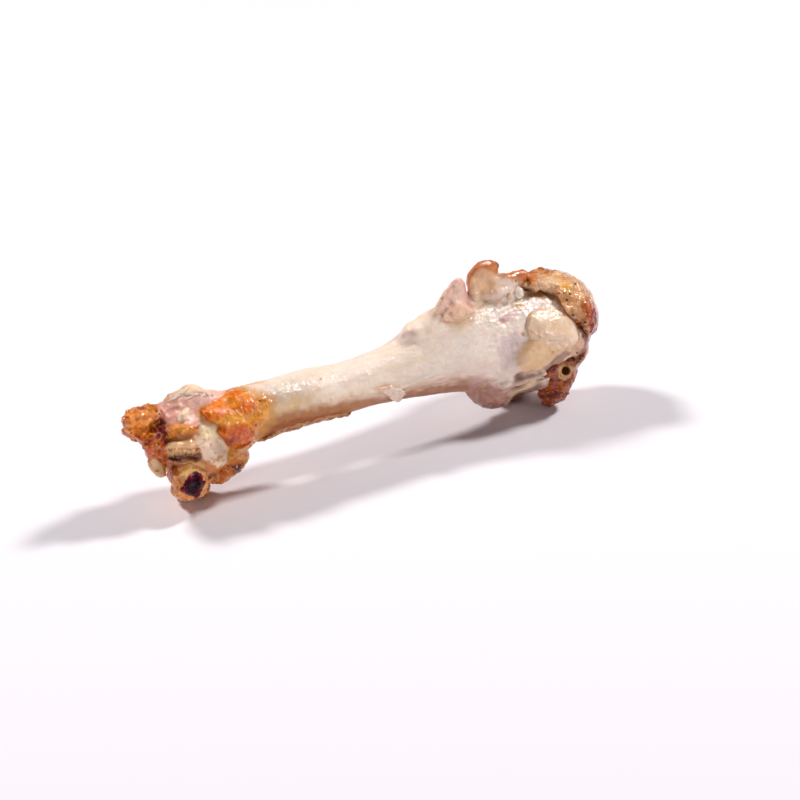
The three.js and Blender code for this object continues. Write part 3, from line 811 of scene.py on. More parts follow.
def bone_field(P):
    d = core(P)
    d = soft_min(d, blob(P, **CREST), 1.6)
    d = soft_min(d, blob(P, (10.9, -0.2, 17.9), (3.8, 1.9, 1.7), (0, -24, 0)), 1.4)
    d = soft_min(d, blob(P, (8.3, -0.3, 17.7), (1.5, 1.8, 1.2), (0, -24, 0)), 0.6)
    d = soft_min(d, blob(P, **LOWER_TUBERCLE), 1.0)
    d = soft_min(d, blob(P, **REAR_TUBERCLE), 1.6)
    d = soft_min(d, blob(P, **CONDYLE_UPPER), 1.2)
    d = soft_min(d, blob(P, (-28.5, -0.1, 7.6), (3.7, 4.9, 3.7)), 1.0)
    d = soft_min(d, path(P, [at(176, 402, 0.4), at(192, 398, 0.6), at(210, 400, 0.6)], [1.5, 1.9, 1.2]), 1.8)
    band = soft_max(core(P) - F(0.7), blob(P, **CARTILAGE_BAND), 1.2)
    edge = soft_max(core(P) - F(0.65), blob(P, **CARTILAGE_EDGE), 1.0)
    d = soft_min(d, soft_min(band, edge, 0.8), 1.1)
    d = soft_max(d, -blob(P, **HEAD_RECESS), 0.35)
    d = inside_box(d, P, (20, -9.5, 2), (42, -3, 14), lambda e, Q: soft_max(e, -soft_max(outline(Q, GAP_OUT) + wobble(Q, 1.2, 0.2, 31), F(-0.35) - core(Q), 0.5), 0.3))
    d = soft_max(d, -blob(P, (21.4, -8.7, 12.9), (2.2, 2.9, 4.6), (0, 30, 0)), 2.2)
    d = soft_min(d, path(P, [(21.2, -5.6, 7.4), (24.6, -6.5, 8.0), (28.6, -6.6, 8.2)], [0.45, 0.6, 0.3]), 0.9)
    d = soft_min(d, path(P, [(22.6, -5.2, 5.9), (26.2, -6.2, 6.8), (29.0, -6.3, 7.0)], [0.3, 0.45, 0.2]), 0.6)
    # the elbow: a lip that overhangs a hollow, and a dark gap above the knob
    d = soft_min(d, path(P, LIP, [0.5, 0.6, 0.7, 0.6], 0.5), 0.9)
    d = soft_max(d, -path(P, [at(164, 458, -4.0), at(182, 459, -5.0), at(200, 461, -5.3)], [0.7, 1.05, 0.75], 0.5), 0.4)
    d = soft_max(d, -path(P, [at(166, 455, -2.6), at(182, 456, -3.0), at(196, 458, -3.6)], [0.7, 0.9, 0.5], 0.5), 0.3)
    d = inside_box(d, P, (30, -9.5, -0.6), (43.5, 9.5, 23.6), lambda e, Q: soft_max(e, outline(Q, SILHOUETTE) + F(0.25), 0.8))
    # fillets towards what hangs on
    d = inside_box(d, P, (15, -5, 14), (30, 4, 23.5), lambda e, Q: soft_min(e, soft_min(curl_shape(Q), web_shape(Q), 0.9) + F(0.15), 1.9))
    d = inside_box(d, P, (7, -6, 14), (20, 4, 23.5), lambda e, Q: soft_min(e, meat_shape(Q) + F(0.3), 1.2))
    d = inside_box(d, P, (-38.5, -7, 6), (-28, 5, 17.5), lambda e, Q: soft_min(e, tip_shape(Q) + F(0.35), 1.0))
    return floor_cut(d, P)


# ---------------------------------------------------------------- first all the shapes, then the colours over them

MADE = {}


def keep(name, v, q, **more):
    MADE[name] = dict(v=v, q=q, **more)
    stand(name, v, q)


def greasy(p, size, seed):
    """Lumps with sharp little crests, about -1 to 1."""
    return 0.6 * noise(p, size, seed) + 0.5 * (0.5 - np.abs(noise(p, size * 0.6, seed + 1)) * 1.6) + 0.35 * noise(p, size * 0.33, seed + 2)


def shape_bone():
    v, q = grow_mesh((-38.5, -9.5, -0.6), (43.5, 9.5, 23.6), 0.24, bone_field, smooth=2)
    n = normals(v, q)
    p = v.copy()
    x, y, z = v.T
    low = step(z, 0.05, 1.2)
    head = step(x, 14, 22)
    soft = 0.12 * noise(p, (5, 3, 3), 1) + 0.06 * fbm(p, (2.4, 1.2, 1.2), 2, 2) + 0.03 * noise(p, (1.8, 0.45, 0.45), 5)
    wrinkle = head * (0.09 * fbm(p, (1.5, 1.0, 1.0), 3, 7) + 0.05 * fbm(p, 0.6, 2, 13))
    v = v + n * ((soft + wrinkle) * low)[:, None]
    stand("bone", v, q)
    S = lambda *a, **k: stroke(p, *a, **k)
    lift = 0.16 * S([(486, 322), (500, 312), (517, 304)], 0.10, 0.5) + 0.14 * S([(494, 326), (508, 318), (522, 312)], 0.08, 0.5)
    lift = lift + 0.14 * S([(480, 312), (492, 303), (505, 299)], 0.08, 0.5) - 0.15 * S([(488, 328), (504, 321)], 0.2, 0.8)
    lift = lift + 0.10 * S([(398, 390), (420, 381), (446, 370)], 0.06, 0.4)
    # ridges and a groove down the lower condyle, and the membrane's wrinkles above it
    lift = lift + 0.28 * S([(199, 436), (208, 448), (214, 464)], 0.15, 0.9, 0.3, 3) - 0.30 * S([(208, 436), (217, 448), (221, 460)], 0.1, 0.9, 0.3, 4)
    lift = lift + 0.20 * S([(216, 434), (223, 446), (226, 458)], 0.10, 0.8, 0.3, 5)
    zone_ = step(-x, 27.5, 30.0)
    lift = lift + zone_ * (0.16 * noise(p, (2.6, 1.4, 0.8), 9) + 0.12 * fbm(p, (1.2, 0.8, 0.5), 2, 10))
    # the wet, wrinkled strip over the disc, and folds down the lower tubercle
    lift = lift + 0.16 * S([(518, 308), (538, 304), (560, 306)], 0.6, 1.2) * noise(p, (0.5, 0.6, 0.9), 11)
    lift = lift + 0.22 * S([(472, 396), (490, 400), (512, 398)], 2.0, 2.5) * noise(p, (2.2, 0.8, 0.9), 12)
    v = v + n * (lift * low)[:, None]
    keep("bone", v, q)


def shape_disc():
    def field(P):
        area = blob(P, **CARTILAGE_DISC) - F(0.2) + wobble(P, 2.2, 0.3, 6)
        return np.maximum(np.maximum(core(P) - F(0.3) - F(0.66) * taper(area, 2.6), area), F(-0.6) - core(P))
    v, q = grow_mesh((24.0, -10.0, 10.5), (36.5, -2.5, 20.0), 0.15, field, smooth=2)
    n = normals(v, q)
    keep("disc", v + n * (0.12 * noise(v, 2.2, 3) + 0.05 * fbm(v, 0.9, 2, 5))[:, None], q)


def hood_area(P):
    """Where the skin on the head lies: over its top and back, and down its right margin."""
    seen = soft_max(outline(P, HOOD_OUT), P[1] - F(3.5), 0.8)
    behind = soft_max(blob(P, **HOOD_AREA), F(0.5) - P[1], 0.8)
    return soft_min(seen, behind, 1.2)


def hood_field(P):
    c = core(P)
    area = hood_area(P) + wobble(P, 1.6, 0.35, 2) + wobble(P, 0.7, 0.16, 5)
    front = step(P[0] * 1.0, 34.5, 38.0) * step(-P[1], -1.5, 1.5)
    raised = 0.45 * step(-P[0] * 1.0, -33.5, -29.0)
    thick = F(1.95) + wobble(P, 3.2, 0.4, 8) - F(0.3) * front + raised + 1.0 * step(P[0] * 1.0, 33.0, 36.5) * step(P[2] * 1.0, 11.5, 14.5)
    reach = F(1.4) + 2.4 * step(P[0] * 1.0, 33.0, 36.5) * step(-P[1], -1.0, 2.0)
    rim = 0.22 - 0.13 * step(P[0] * 1.0, 31.0, 34.0) * step(-P[1], 0.0, 2.0)
    d = soft_max(c - thick * np.maximum(taper(area, reach), rim), area, 0.45)
    d = soft_min(d, blob(P, at(541, 269.5, 3.5), (1.5, 1.5, 1.3)), 1.0)
    d = np.maximum(d, F(-0.45) - c)
    d = soft_max(d, -soft_max(P[2] - F(7.0), F(30.0) - P[0], 0.5), 0.4)
    gap = soft_max(c - F(1.05), blob(P, **POCKET), 0.3)
    d = soft_max(d, outline(P, SILHOUETTE) + F(0.1), 0.7)
    return floor_cut(soft_max(d, -gap, 0.25), P)


def shape_hood():
    v, q = grow_mesh((23.0, -9.5, 5.0), (46.5, 12.0, 27.5), 0.17, hood_field, smooth=2)
    n = normals(v, q)
    lumps = greasy(v, 2.2, 12)
    v = v + n * (0.15 * lumps + 0.07 * fbm(v, 0.9, 2, 15))[:, None]
    keep("hood", v, q, lumps=lumps)


def curl_field(P):
    d = soft_min(curl_shape(P), web_shape(P), 1.0)
    return d + wobble(P, 1.8, 0.15, 4) + wobble(P, 0.8, 0.05, 6)


def shape_curl():
    v, q = grow_mesh((16.6, -5.0, 15.2), (31.0, 3.5, 27.6), 0.15, curl_field, smooth=2)
    n = normals(v, q)
    keep("curl", v + n * (0.05 * fbm(v, (1.2, 1.2, 2.2), 3, 3))[:, None], q)


def meat_field(P):
    crease = path(P, [at(440, 325, -2.6), at(456, 327, -2.9), at(476, 319, -2.4)], [0.2, 0.4, 0.2])
    d = soft_max(meat_shape(P), -crease, 0.35)
    return d + wobble(P, (1.8, 1.8, 2.8), 0.15, 3) + wobble(P, 0.8, 0.06, 9)


def shape_meat():
    v, q = grow_mesh((8.2, -6.0, 15.0), (20.0, 4.0, 26.0), 0.15, meat_field, smooth=1)
    n = normals(v, q)
    keep("meat", v + n * (0.07 * fbm(v, (0.9, 0.9, 2.8), 3, 4) + 0.02 * fbm(v, 0.5, 2, 6))[:, None], q)


def gristle_field(P):
    d = soft_min(rod(P, (33.8, -3.6, 7.4), (33.6, -3.6, 3.4), 2.6, 2.4), rod(P, (33.0, -2.9, 3.6), (32.2, -2.3, 2.0), 2.5, 2.05), 0.9)
    d = soft_min(d, rod(P, (30.6, -4.8, 7.6), (33.0, -4.6, 4.4), 1.1, 1.6), 0.7)
    d = d + wobble(P, 2.2, 0.6, 3) + wobble(P, 1.0, 0.28, 6)
    d = soft_max(d, outline(P, GRISTLE_OUT) - F(0.1) + wobble(P, 1.2, 0.3, 8), 0.9)
    a = np.array(VEIN["aim"]) / np.linalg.norm(VEIN["aim"])
    o = np.array(VEIN["at"])
    tube_out = rod(P, o - a * 2.2, o + a * 0.15, 1.0, 0.95) + wobble(P, 1.1, 0.42, 2)
    rim = rod(P, o + a * 0.2 + np.array([0.5, 0.1, 0.2]), o + np.array([1.7, 1.0, -0.5]), 0.45, 0.25)
    veil = soft_max(np.abs(blob(P, (31.0, -4.4, 8.2), (2.6, 2.2, 1.6))) - F(0.15), P[2] - F(9.2), 0.2)
    d = soft_min(d, soft_min(tube_out, rim, 0.4), 0.4)
    d = soft_min(d, veil, 0.4)
    d = soft_max(d, -(rod(P, o - a * 0.25, o + a * 2.5, 0.62, 0.85) + wobble(P, 0.9, 0.2, 12)), 0.2)
    return floor_cut(d, P)


def shape_gristle():
    v, q = grow_mesh((26.5, -9.5, -0.5), (38.8, 1.0, 11.2), 0.14, gristle_field, smooth=1)
    n = normals(v, q)
    low = step(v[:, 2], 0.05, 0.8)
    a = np.array(VEIN["aim"]) / np.linalg.norm(VEIN["aim"])
    rel = v - np.array(VEIN["at"])
    along = rel @ a
    ring = np.linalg.norm(rel - along[:, None] * a, axis=1)
    near = (1 - step(ring, 1.1, 1.6)) * step(along, -1.9, -0.9)
    lumps = greasy(v, 1.5, 5)
    keep("gristle", v + n * ((0.24 * lumps + 0.12 * fbm(v, 0.65, 2, 14)) * low * (1 - 0.7 * near))[:, None], q, near=near, ring=ring, low=low, lumps=lumps)


def skin_area(P):
    """Where the skin at the elbow lies: its outline in the view, and a band round the back."""
    seen = soft_max(outline(P, SKIN_OUT), P[1] - F(1.4), 0.8)
    behind = soft_max(soft_max(blob(P, **ELBOW_SKIN_AREA), F(0.8) - P[1], 0.8), P[2] - F(14.6), 0.8)
    return soft_min(seen, behind, 1.0)


def elbow_skin_field(P):
    c = elbow(P)
    area = skin_area(P) + wobble(P, 1.7, 0.35, 2) + wobble(P, 0.8, 0.2, 5)
    reach = 1.0 + 1.8 * step(P[0], -24.5, -20.0)
    top = c - (F(1.0) + wobble(P, 2.2, 0.35, 4)) * taper(area, reach) + F(0.14)
    fold = soft_max(blob(P, **ELBOW_SKIN_UNDER), outline(P, FOLD_OUT) + F(0.15), 0.9) + wobble(P, 1.3, 0.35, 7)
    fold = soft_max(fold, F(-0.2) - c, 0.3)
    d = soft_min(np.maximum(top, area), fold, 0.6)
    d = np.maximum(d, F(-0.5) - c)
    crease = path(P, [at(222, 446, -5.6), at(234, 448, -5.4), at(252, 441, -4.2)], [0.2, 0.45, 0.3])
    crease2 = path(P, [at(226, 460, -5.0), at(240, 464, -4.2), at(252, 458, -3.4)], [0.2, 0.35, 0.3])
    return floor_cut(soft_max(soft_max(d, -crease, 0.4), -crease2, 0.3), P)


def shape_elbow_skin():
    v, q = grow_mesh((-30.5, -8.5, -0.3), (-16.5, 8.0, 21.5), 0.16, elbow_skin_field, smooth=1)
    n = normals(v, q)
    low = step(v[:, 2], 0.05, 0.8)
    thin = step(-skin_area(P_of(v)), 0.0, 1.2)
    lumps = greasy(v, 1.7, 12)
    keep("elbow_skin", v + n * ((0.20 * lumps * (0.25 + 0.75 * thin) + 0.09 * fbm(v, 0.7, 2, 15)) * low)[:, None], q, lumps=lumps)


def tip_field(P):
    return tip_shape(P) + wobble(P, 2.2, 0.55, 3) + wobble(P, 1.0, 0.26, 6)


def crumbly(v, q, seed, amount=0.20):
    n = normals(v, q)
    low = step(v[:, 2], 0.05, 0.8)
    lumps = greasy(v, 1.2, seed)
    small = pebbles(v, 0.75, seed + 2)
    return lumps, small, v + n * ((amount * lumps + 0.08 * (small - 0.2) + 0.09 * fbm(v, 0.6, 2, seed)) * low)[:, None]


def shape_tip():
    v, q = grow_mesh((-42.2, -7.2, 6.5), (-29.0, 4.8, 18.0), 0.13, tip_field, smooth=1)
    lumps, small, v = crumbly(v, q, 7)
    keep("tip", v, q, lumps=lumps, small=small)


def burn(p):
    d = outline(P_of(p), BURN_OUT) + 0.25 * noise(p, 0.8, 8) + 0.12 * noise(p, 0.4, 9)
    return (1 - step(d, -0.1, 0.35)) * step(-p[:, 1], 2.0, 3.0)


def knob_field(P):
    d = knob_shape(P) + wobble(P, 2.1, 0.4, 3) + wobble(P, 0.95, 0.24, 6)
    d = soft_max(d, -blob(P, at(191.5, 485, -6.9), (1.3, 0.9, 1.5), (0, 34, 0)), 0.6)
    return floor_cut(d, P)


def shape_knob():
    v, q = grow_mesh((-36.2, -7.2, -0.4), (-22.8, 5.2, 9.6), 0.14, knob_field, smooth=1)
    lumps, small, v = crumbly(v, q, 9)
    keep("knob", v, q, lumps=lumps, small=small)


def shape_burn():
    """The burnt, wet patch, a thin crinkled piece of its own on the knob."""
    def field(P):
        k = knob_field(P)
        rag = outline(P, BURN_OUT) + wobble(P, 0.9, 0.3, 8) + wobble(P, 0.45, 0.14, 9)
        return soft_max(np.maximum(k - F(0.22) - wobble(P, 0.9, 0.16, 3), F(-0.35) - k), np.maximum(rag, P[1] + F(2.6)), 0.25)
    v, q = grow_mesh((-36.0, -8.4, 1.4), (-28.4, -2.4, 8.4), 0.10, field, smooth=1)
    n = normals(v, q)
    keep("burn", v + n * (0.16 * greasy(v, 0.8, 4))[:, None], q)


def shape_pouch():
    def field(P):
        d = slab(P, POUCH_OUT, F(-1.3), F(0.85), 0.9) - F(0.1)
        d = soft_max(d, -soft_max(outline(P, POUCH_IN) + F(0.05), P[1] + F(1.75), 0.3), 0.25)
        return d + wobble(P, 1.2, 0.08, 3)
    v, q = grow_mesh((-39.0, -3.6, 4.2), (-32.4, 1.4, 12.4), 0.10, field, smooth=2)
    keep("pouch", v, q)


def shape_scrap():
    def field(P):
        flat_ = slab(P, SCRAP_OUT, F(-3.7) - 0.32 * (P[2] - F(9.6)), F(0.38), 0.3)
        return flat_ + wobble(P, 0.8, 0.16, 3)
    v, q = grow_mesh((-2.4, -6.0, 6.2), (7.0, -1.6, 12.6), 0.10, field, smooth=1)
    n = normals(v, q)
    keep("scrap", v + n * (0.06 * fbm(v, (1.2, 0.4, 0.4), 2, 3))[:, None], q)


def shape_dripping():
    def field(P):
        c = loft(P)
        area = blob(P, (-11.2, -2.1, 7.4), (8.8, 3.2, 1.7), (0, 2, 0)) + wobble(P, (1.6, 1.2, 0.9), 0.5, 2) + wobble(P, 0.6, 0.2, 5)
        d = c - (F(0.62) + wobble(P, 1.4, 0.3, 4)) * taper(area, 0.9) + F(0.12)
        return np.maximum(np.maximum(d, F(-0.4) - c), area - F(0.2))
    v, q = grow_mesh((-20.8, -6.4, 3.8), (-1.5, 2.4, 10.5), 0.14, field, keep=3, smooth=1)
    n = normals(v, q)
    keep("dripping", v + n * (0.12 * greasy(v, 1.0, 3))[:, None], q)


# ---------------------------------------------------------------- colours, laid over whatever shows at a place

SHAFT_TONES = [
    ([(268, 396), (300, 386)], 1.6, 3.0, 0.8, (222, 208, 194), 0.6),
    ([(268, 404), (292, 402), (312, 396)], 1.0, 2.4, 0.9, (206, 172, 138), 0.55),
    ([(264, 418), (286, 409), (308, 401)], 0.5, 1.5, 0.7, (220, 180, 118), 0.6),
    ([(276, 422), (310, 414), (350, 408), (392, 403)], 0.9, 2.2, 0.7, (182, 126, 84), 0.85),
    ([(262, 432), (296, 422), (346, 411)], 0.6, 1.3, 0.8, (158, 84, 34), 0.9),
    # painted shade: the lower edge of the shaft's right part darkened
    ([(392, 402), (430, 397), (462, 390)], 0.8, 2.2, 0.6, (176, 126, 98), 0.85),
    ([(336, 372), (372, 364), (404, 356)], 1.0, 3.5, 0.8, (242, 224, 208), 0.6),
    ([(300, 410), (330, 402), (360, 396)], 0.5, 2.0, 1.0, (226, 186, 140), 0.5)]

HEAD_DETAILS = [
    ([(498, 323), (510, 316)], 0.2, 0.8, 0.5, (206, 138, 130), 0.5),
    ([(516, 372), (524, 358)], 0.4, 1.6, 0.3, (228, 200, 184), 0.5),
    ([(530, 332), (541, 339), (552, 342), (566, 341)], 0.03, 0.3, 0.15, (196, 138, 88), 0.5),
    ([(584, 338), (586, 348), (580, 358)], 0.2, 0.5, 0.3, (108, 50, 28), 0.7),
    ([(498, 265)], 0.28, 0.4, 0.15, (48, 24, 18), 0.95),
    ([(485, 301)], 0.2, 0.5, 0.1, (200, 128, 60), 0.7),
    ([(451, 313)], 0.15, 0.45, 0.12, (136, 46, 40), 0.95),
    ([(446, 312), (452, 315)], 0.15, 0.8, 0.2, (200, 130, 112), 0.7),
    ([(442, 298)], 0.22, 0.6, 0.15, (196, 112, 58), 0.85),
    ([(446, 288), (449, 284)], 0.1, 0.8, 0.2, (206, 136, 96), 0.6),
    ([(402, 325), (410, 321), (420, 317)], 0.3, 1.2, 0.3, (238, 208, 158), 0.75),
    # painted shade: a mauve-grey patch under the small lump at the crest's end
    ([(403, 336), (412, 332)], 0.3, 1.3, 0.3, (194, 156, 152), 0.8),
    ([(424, 316), (436, 308)], 0.3, 1.4, 0.4, (240, 210, 176), 0.7)]

ELBOW_DETAILS = [
    ([(196, 404), (206, 400)], 0.3, 1.0, 0.5, (228, 190, 178), 0.5),
    ([(262, 400), (265, 401)], 0.2, 0.4, 0.1, (110, 60, 34), 0.7),
    # painted highlight along the tan fold
    ([(236, 450), (246, 447)], 0.15, 0.6, 0.2, (238, 196, 140), 0.6),
    ([(253, 438), (254, 446)], 0.25, 0.6, 0.2, (240, 214, 164), 0.85),
    ([(230, 436), (232, 440)], 0.3, 0.6, 0.2, (140, 54, 20), 0.7),
    ([(248, 402), (254, 408)], 0.2, 0.8, 0.3, (190, 92, 30), 0.6),
    ([(140, 404), (143, 407)], 0.2, 0.7, 0.3, (150, 56, 30), 0.8),
    ([(155, 418), (160, 424)], 0.3, 0.6, 0.4, (70, 26, 18), 0.8),
    ([(126, 427), (130, 430)], 0.15, 0.5, 0.3, (110, 44, 28), 0.8),
    ([(178, 496), (190, 501), (204, 497)], 0.2, 1.0, 0.5, (150, 66, 34), 0.6),
    ([(206, 478), (208, 488)], 0.2, 0.8, 0.4, (170, 80, 40), 0.7),
    ([(211, 474), (218, 478)], 0.2, 0.6, 0.3, (108, 56, 30), 0.7)]

# areas by their outline in the view: outline, soft edge mm, raggedness mm, colour, amount
SHAFT_AREAS = [
    ([(266, 402), (292, 392), (300, 398), (290, 412), (272, 424), (262, 420)], 2, 0.8, (226, 192, 140), 0.6),
    ([(268, 392), (292, 384), (300, 392), (284, 402), (268, 404)], 1.6, 0.6, (204, 184, 158), 0.6),
    ([(256, 428), (276, 416), (300, 408), (350, 402), (400, 396), (402, 404), (350, 420), (300, 432), (262, 444)], 1.6, 0.6, (166, 106, 66), 0.92),
    ([(256, 436), (276, 424), (300, 417), (350, 411), (352, 424), (300, 436), (262, 448)], 1.2, 0.7, (152, 78, 30), 0.92),
    # painted shade: the lower edge of the shaft's right part darkened
    ([(392, 398), (440, 388), (470, 383), (470, 398), (440, 408), (392, 414)], 2, 0.6, (148, 96, 68), 0.92)]

HEAD_AREAS = [
    ([(469.5, 349.4), (492.7, 327.9), (515.9, 316.3), (529.2, 316.3), (525.9, 332.9), (506, 356), (482.8, 372.6), (467.9, 372.6)], 3, 0.8, (248, 228, 214), 0.6),
    ([(496, 342.8), (515.9, 329.5), (524.2, 342.8), (519.2, 359.4), (499.4, 366)], 2, 0.6, (218, 192, 190), 0.55),
    ([(509.3, 304.7), (532.5, 298.1), (555.7, 303), (564, 314.6), (562.3, 321.3), (549.1, 309.7), (532.5, 311.3), (515.9, 321.3), (502.7, 322.9)], 1.2, 0.4, (240, 216, 204), 0.7),
    ([(497.7, 321.3), (512.6, 313), (517.6, 309.7), (515.9, 316.3), (504.3, 322.9)], 1.2, 0.6, (206, 146, 138), 0.4),
    ([(562.3, 313), (575.6, 317.9), (580.6, 327.9), (586.4, 342.8), (586.4, 356), (577.2, 360.2), (569, 352.7), (573.9, 340.3), (576.4, 329.5), (565.6, 319.6)], 0.7, 0.3, (220, 176, 146), 0.95),
    ([(518.4, 351.1), (525.9, 340.3), (534.2, 336.2), (547.4, 341.1), (560.7, 342.8), (573.9, 340.3), (571.4, 349.4), (566, 349.8), (555.7, 356), (549.1, 363), (541.1, 370.3), (530.8, 372.3), (522.6, 370.6), (516.8, 364.3)], 1.1, 0.3, (228, 184, 136), 0.95),
    ([(529.2, 349.4), (549.1, 346.1), (562.3, 346.1), (549.1, 356), (535.8, 364.3), (527.5, 362.7)], 1.4, 0.3, (238, 202, 158), 0.6),
    # painted shade in the groove under the cartilage band's lower edge, this line and the next
    ([(543.3, 370.1), (555.7, 356.9), (566, 349.8), (571.4, 353.1), (564, 359.4), (557.7, 368.5), (551.6, 373.4)], 0.35, 0.15, (172, 130, 100), 0.9),
    ([(517.6, 373.4), (530.8, 372.9), (541.6, 371), (543.3, 376.8), (532.5, 378.4), (520.9, 382.6), (512.6, 384.2)], 0.6, 0.25, (164, 128, 108), 0.75),
    ([(504.3, 389.2), (515.9, 381.7), (532.5, 377.6), (543.3, 376.8), (544.1, 387.5), (532.5, 394.2), (520.9, 399.1), (506.8, 399.1)], 0.7, 0.3, (196, 160, 140), 0.85),
    ([(506, 395), (520.9, 387.5), (540, 376.8), (540.8, 380.1), (522.6, 390.8), (508, 397.5)], 0.3, 0.15, (228, 194, 150), 0.9),
    # painted shade under the cream strand across the folds
    ([(509.3, 398.3), (522.6, 392.5), (540, 381.7), (541.6, 387.5), (525.9, 395.8), (511, 401.1)], 0.5, 0.2, (146, 112, 100), 0.8),
    ([(467.9, 392.5), (476.2, 382.6), (496, 384.2), (509.3, 395.8), (506, 407.4), (486.1, 412.4), (471.2, 409.1)], 1.4, 0.5, (172, 120, 104), 0.9),
    # painted shade: the lower tubercle's underside darkened
    ([(469.5, 404.1), (486.1, 407.4), (506, 403.3), (522.6, 404.1), (515.9, 415.7), (482.8, 417.4), (467.9, 412.4)], 1.2, 0.5, (132, 82, 70), 0.9),
    ([(506, 399.1), (522.6, 397.5), (539.1, 389.2), (544.1, 394.2), (539.1, 405.8), (519.2, 412.4), (506, 409.1)], 0.9, 0.4, (168, 122, 110), 0.85),
    ([(469.5, 377.6), (482.8, 375.9), (486.1, 384.2), (476.2, 387.5), (467.9, 385.9)], 1.2, 0.4, (204, 170, 164), 0.7),
    ([(575.3, 321.3), (583, 320.4), (589.7, 329.5), (591.3, 337.8), (588, 349.4), (583, 364.3), (574.8, 366), (578.9, 353.6), (584.2, 342.8), (581.4, 332.9)], 0.45, 0.5, (160, 92, 54), 0.95),
    ([(577.2, 324.6), (582.2, 325.4), (588, 336.2), (586.4, 342.8), (582.2, 336.2), (578.1, 329.5)], 0.4, 0.4, (104, 46, 26), 0.8),
    ([(583, 347.8), (587.2, 347.8), (583, 362.7), (575.6, 364.3), (577.2, 357.7)], 0.4, 0.4, (112, 52, 28), 0.85),
    ([(586.4, 298.1), (594.6, 304.7), (603.8, 321.3), (599.6, 337.8), (589.7, 336.2), (588, 322.9), (582.2, 315.5), (580.6, 306.3)], 1, 0.5, (184, 90, 30), 0.95),
    ([(593, 311.3), (603.8, 316.3), (602.1, 336.2), (591.3, 336.2), (592.2, 324.6)], 0.9, 0.4, (128, 34, 2), 0.97),
    ([(552.4, 279.8), (575.6, 276.5), (588.8, 293.1), (580.6, 306.3), (575.6, 316.3), (564, 311.3), (555.7, 298.1)], 1.5, 0.5, (222, 168, 118), 0.6),
    ([(504.3, 276.5), (519.2, 268.2), (534.2, 269.9), (538.3, 280.7), (527.5, 285.6), (512.6, 279.8)], 1, 0.5, (196, 110, 48), 0.9),
    ([(535.8, 266.6), (549.1, 265.7), (555.7, 270.7), (542.4, 272.4)], 0.8, 0.3, (156, 88, 46), 0.8),
    ([(536.6, 279), (552.4, 274.9), (556.5, 287.3), (546.6, 293.4), (536.6, 288.9)], 1, 0.5, (232, 200, 162), 0.85),
    ([(513.4, 281.5), (527.5, 284), (534.2, 290.6), (525.9, 289.8), (515.9, 285.6)], 0.5, 0.3, (232, 204, 172), 0.8),
    # painted shade: tan-brown in the pocket under the lip of the skin on the head
    ([(525, 289.4), (532.5, 293.4), (540, 291.4), (547.4, 292.8), (554.9, 296.4), (554, 300.4), (539.1, 298.4), (527.5, 297.2)], 0.4, 0.2, (160, 116, 76), 0.9),
    ([(559, 285.6), (568.1, 283.1), (573.1, 287.3), (568.1, 291.4), (559.8, 289.8)], 0.5, 0.3, (232, 176, 98), 0.85),
    ([(469.5, 303), (472.9, 289.8), (482.8, 282.3), (496, 276.5), (509.3, 278.2), (520.9, 284), (513.4, 290.6), (497.7, 298.1), (482.8, 302.2)], 0.8, 0.4, (232, 206, 188), 0.9),
    ([(492.7, 292.3), (509.3, 288.9), (522.6, 287.3), (524.2, 298.1), (512.6, 299.7), (496, 297.2)], 0.7, 0.4, (238, 218, 206), 0.7),
    ([(511.8, 299.7), (522.6, 298.1), (527.5, 304.7), (517.6, 308), (511, 306.3)], 0.6, 0.3, (210, 170, 124), 0.8),
    ([(469.5, 278.2), (476.2, 271.5), (489.4, 271.5), (496, 274.9), (496, 289.8), (482.8, 299.7), (471.2, 299.7)], 3.0, 0.4, (228, 182, 140), 0.9),
    ([(464.6, 283.1), (466.6, 271.5), (472.9, 261.6), (482.8, 256.6), (497.7, 258.3), (501, 268.2), (496, 274.9), (489.4, 269.6), (480.3, 268.6), (473.7, 271.5), (469.9, 278.2), (467.9, 289.8)], 0.5, 0.3, (190, 118, 72), 0.92),
    ([(482.8, 264.9), (492.7, 264.1), (497.7, 268.2), (496, 274.2), (491.1, 269.9), (484.4, 268.6)], 0.4, 0.3, (204, 122, 52), 0.85),
    ([(431.4, 311.6), (444.7, 289.8), (456.3, 277.3), (466.2, 281.5), (468.7, 299.7), (472.9, 308), (469.5, 316.3), (433.1, 317.9)], 1, 0.4, (234, 198, 180), 0.6),
    ([(443, 316.6), (450, 305.7), (461.3, 302.7), (473.2, 311.6), (469.5, 315.5), (457.9, 321.6), (445.5, 320.9)], 0.3, 0.15, (248, 202, 170), 0.9),
    # the lens's lower edge: partly its own orange-brown edge, partly painted shade along the crease
    ([(442.7, 317.1), (445.5, 320.9), (457.9, 321.9), (470.4, 315.9), (469.5, 317.9), (457.9, 324.2), (443.9, 322.9)], 0.25, 0.1, (198, 138, 96), 0.85),
    ([(449.7, 322.9), (472.9, 316.3), (476.2, 319.6), (462.9, 329.5), (451.3, 327.1)], 0.9, 0.2, (210, 178, 140), 0.7),
    ([(462.9, 283.1), (466.6, 284.8), (469.5, 299.7), (472.9, 307.2), (467.9, 304.7), (463.7, 293.1)], 0.6, 0.3, (200, 138, 128), 0.7)]

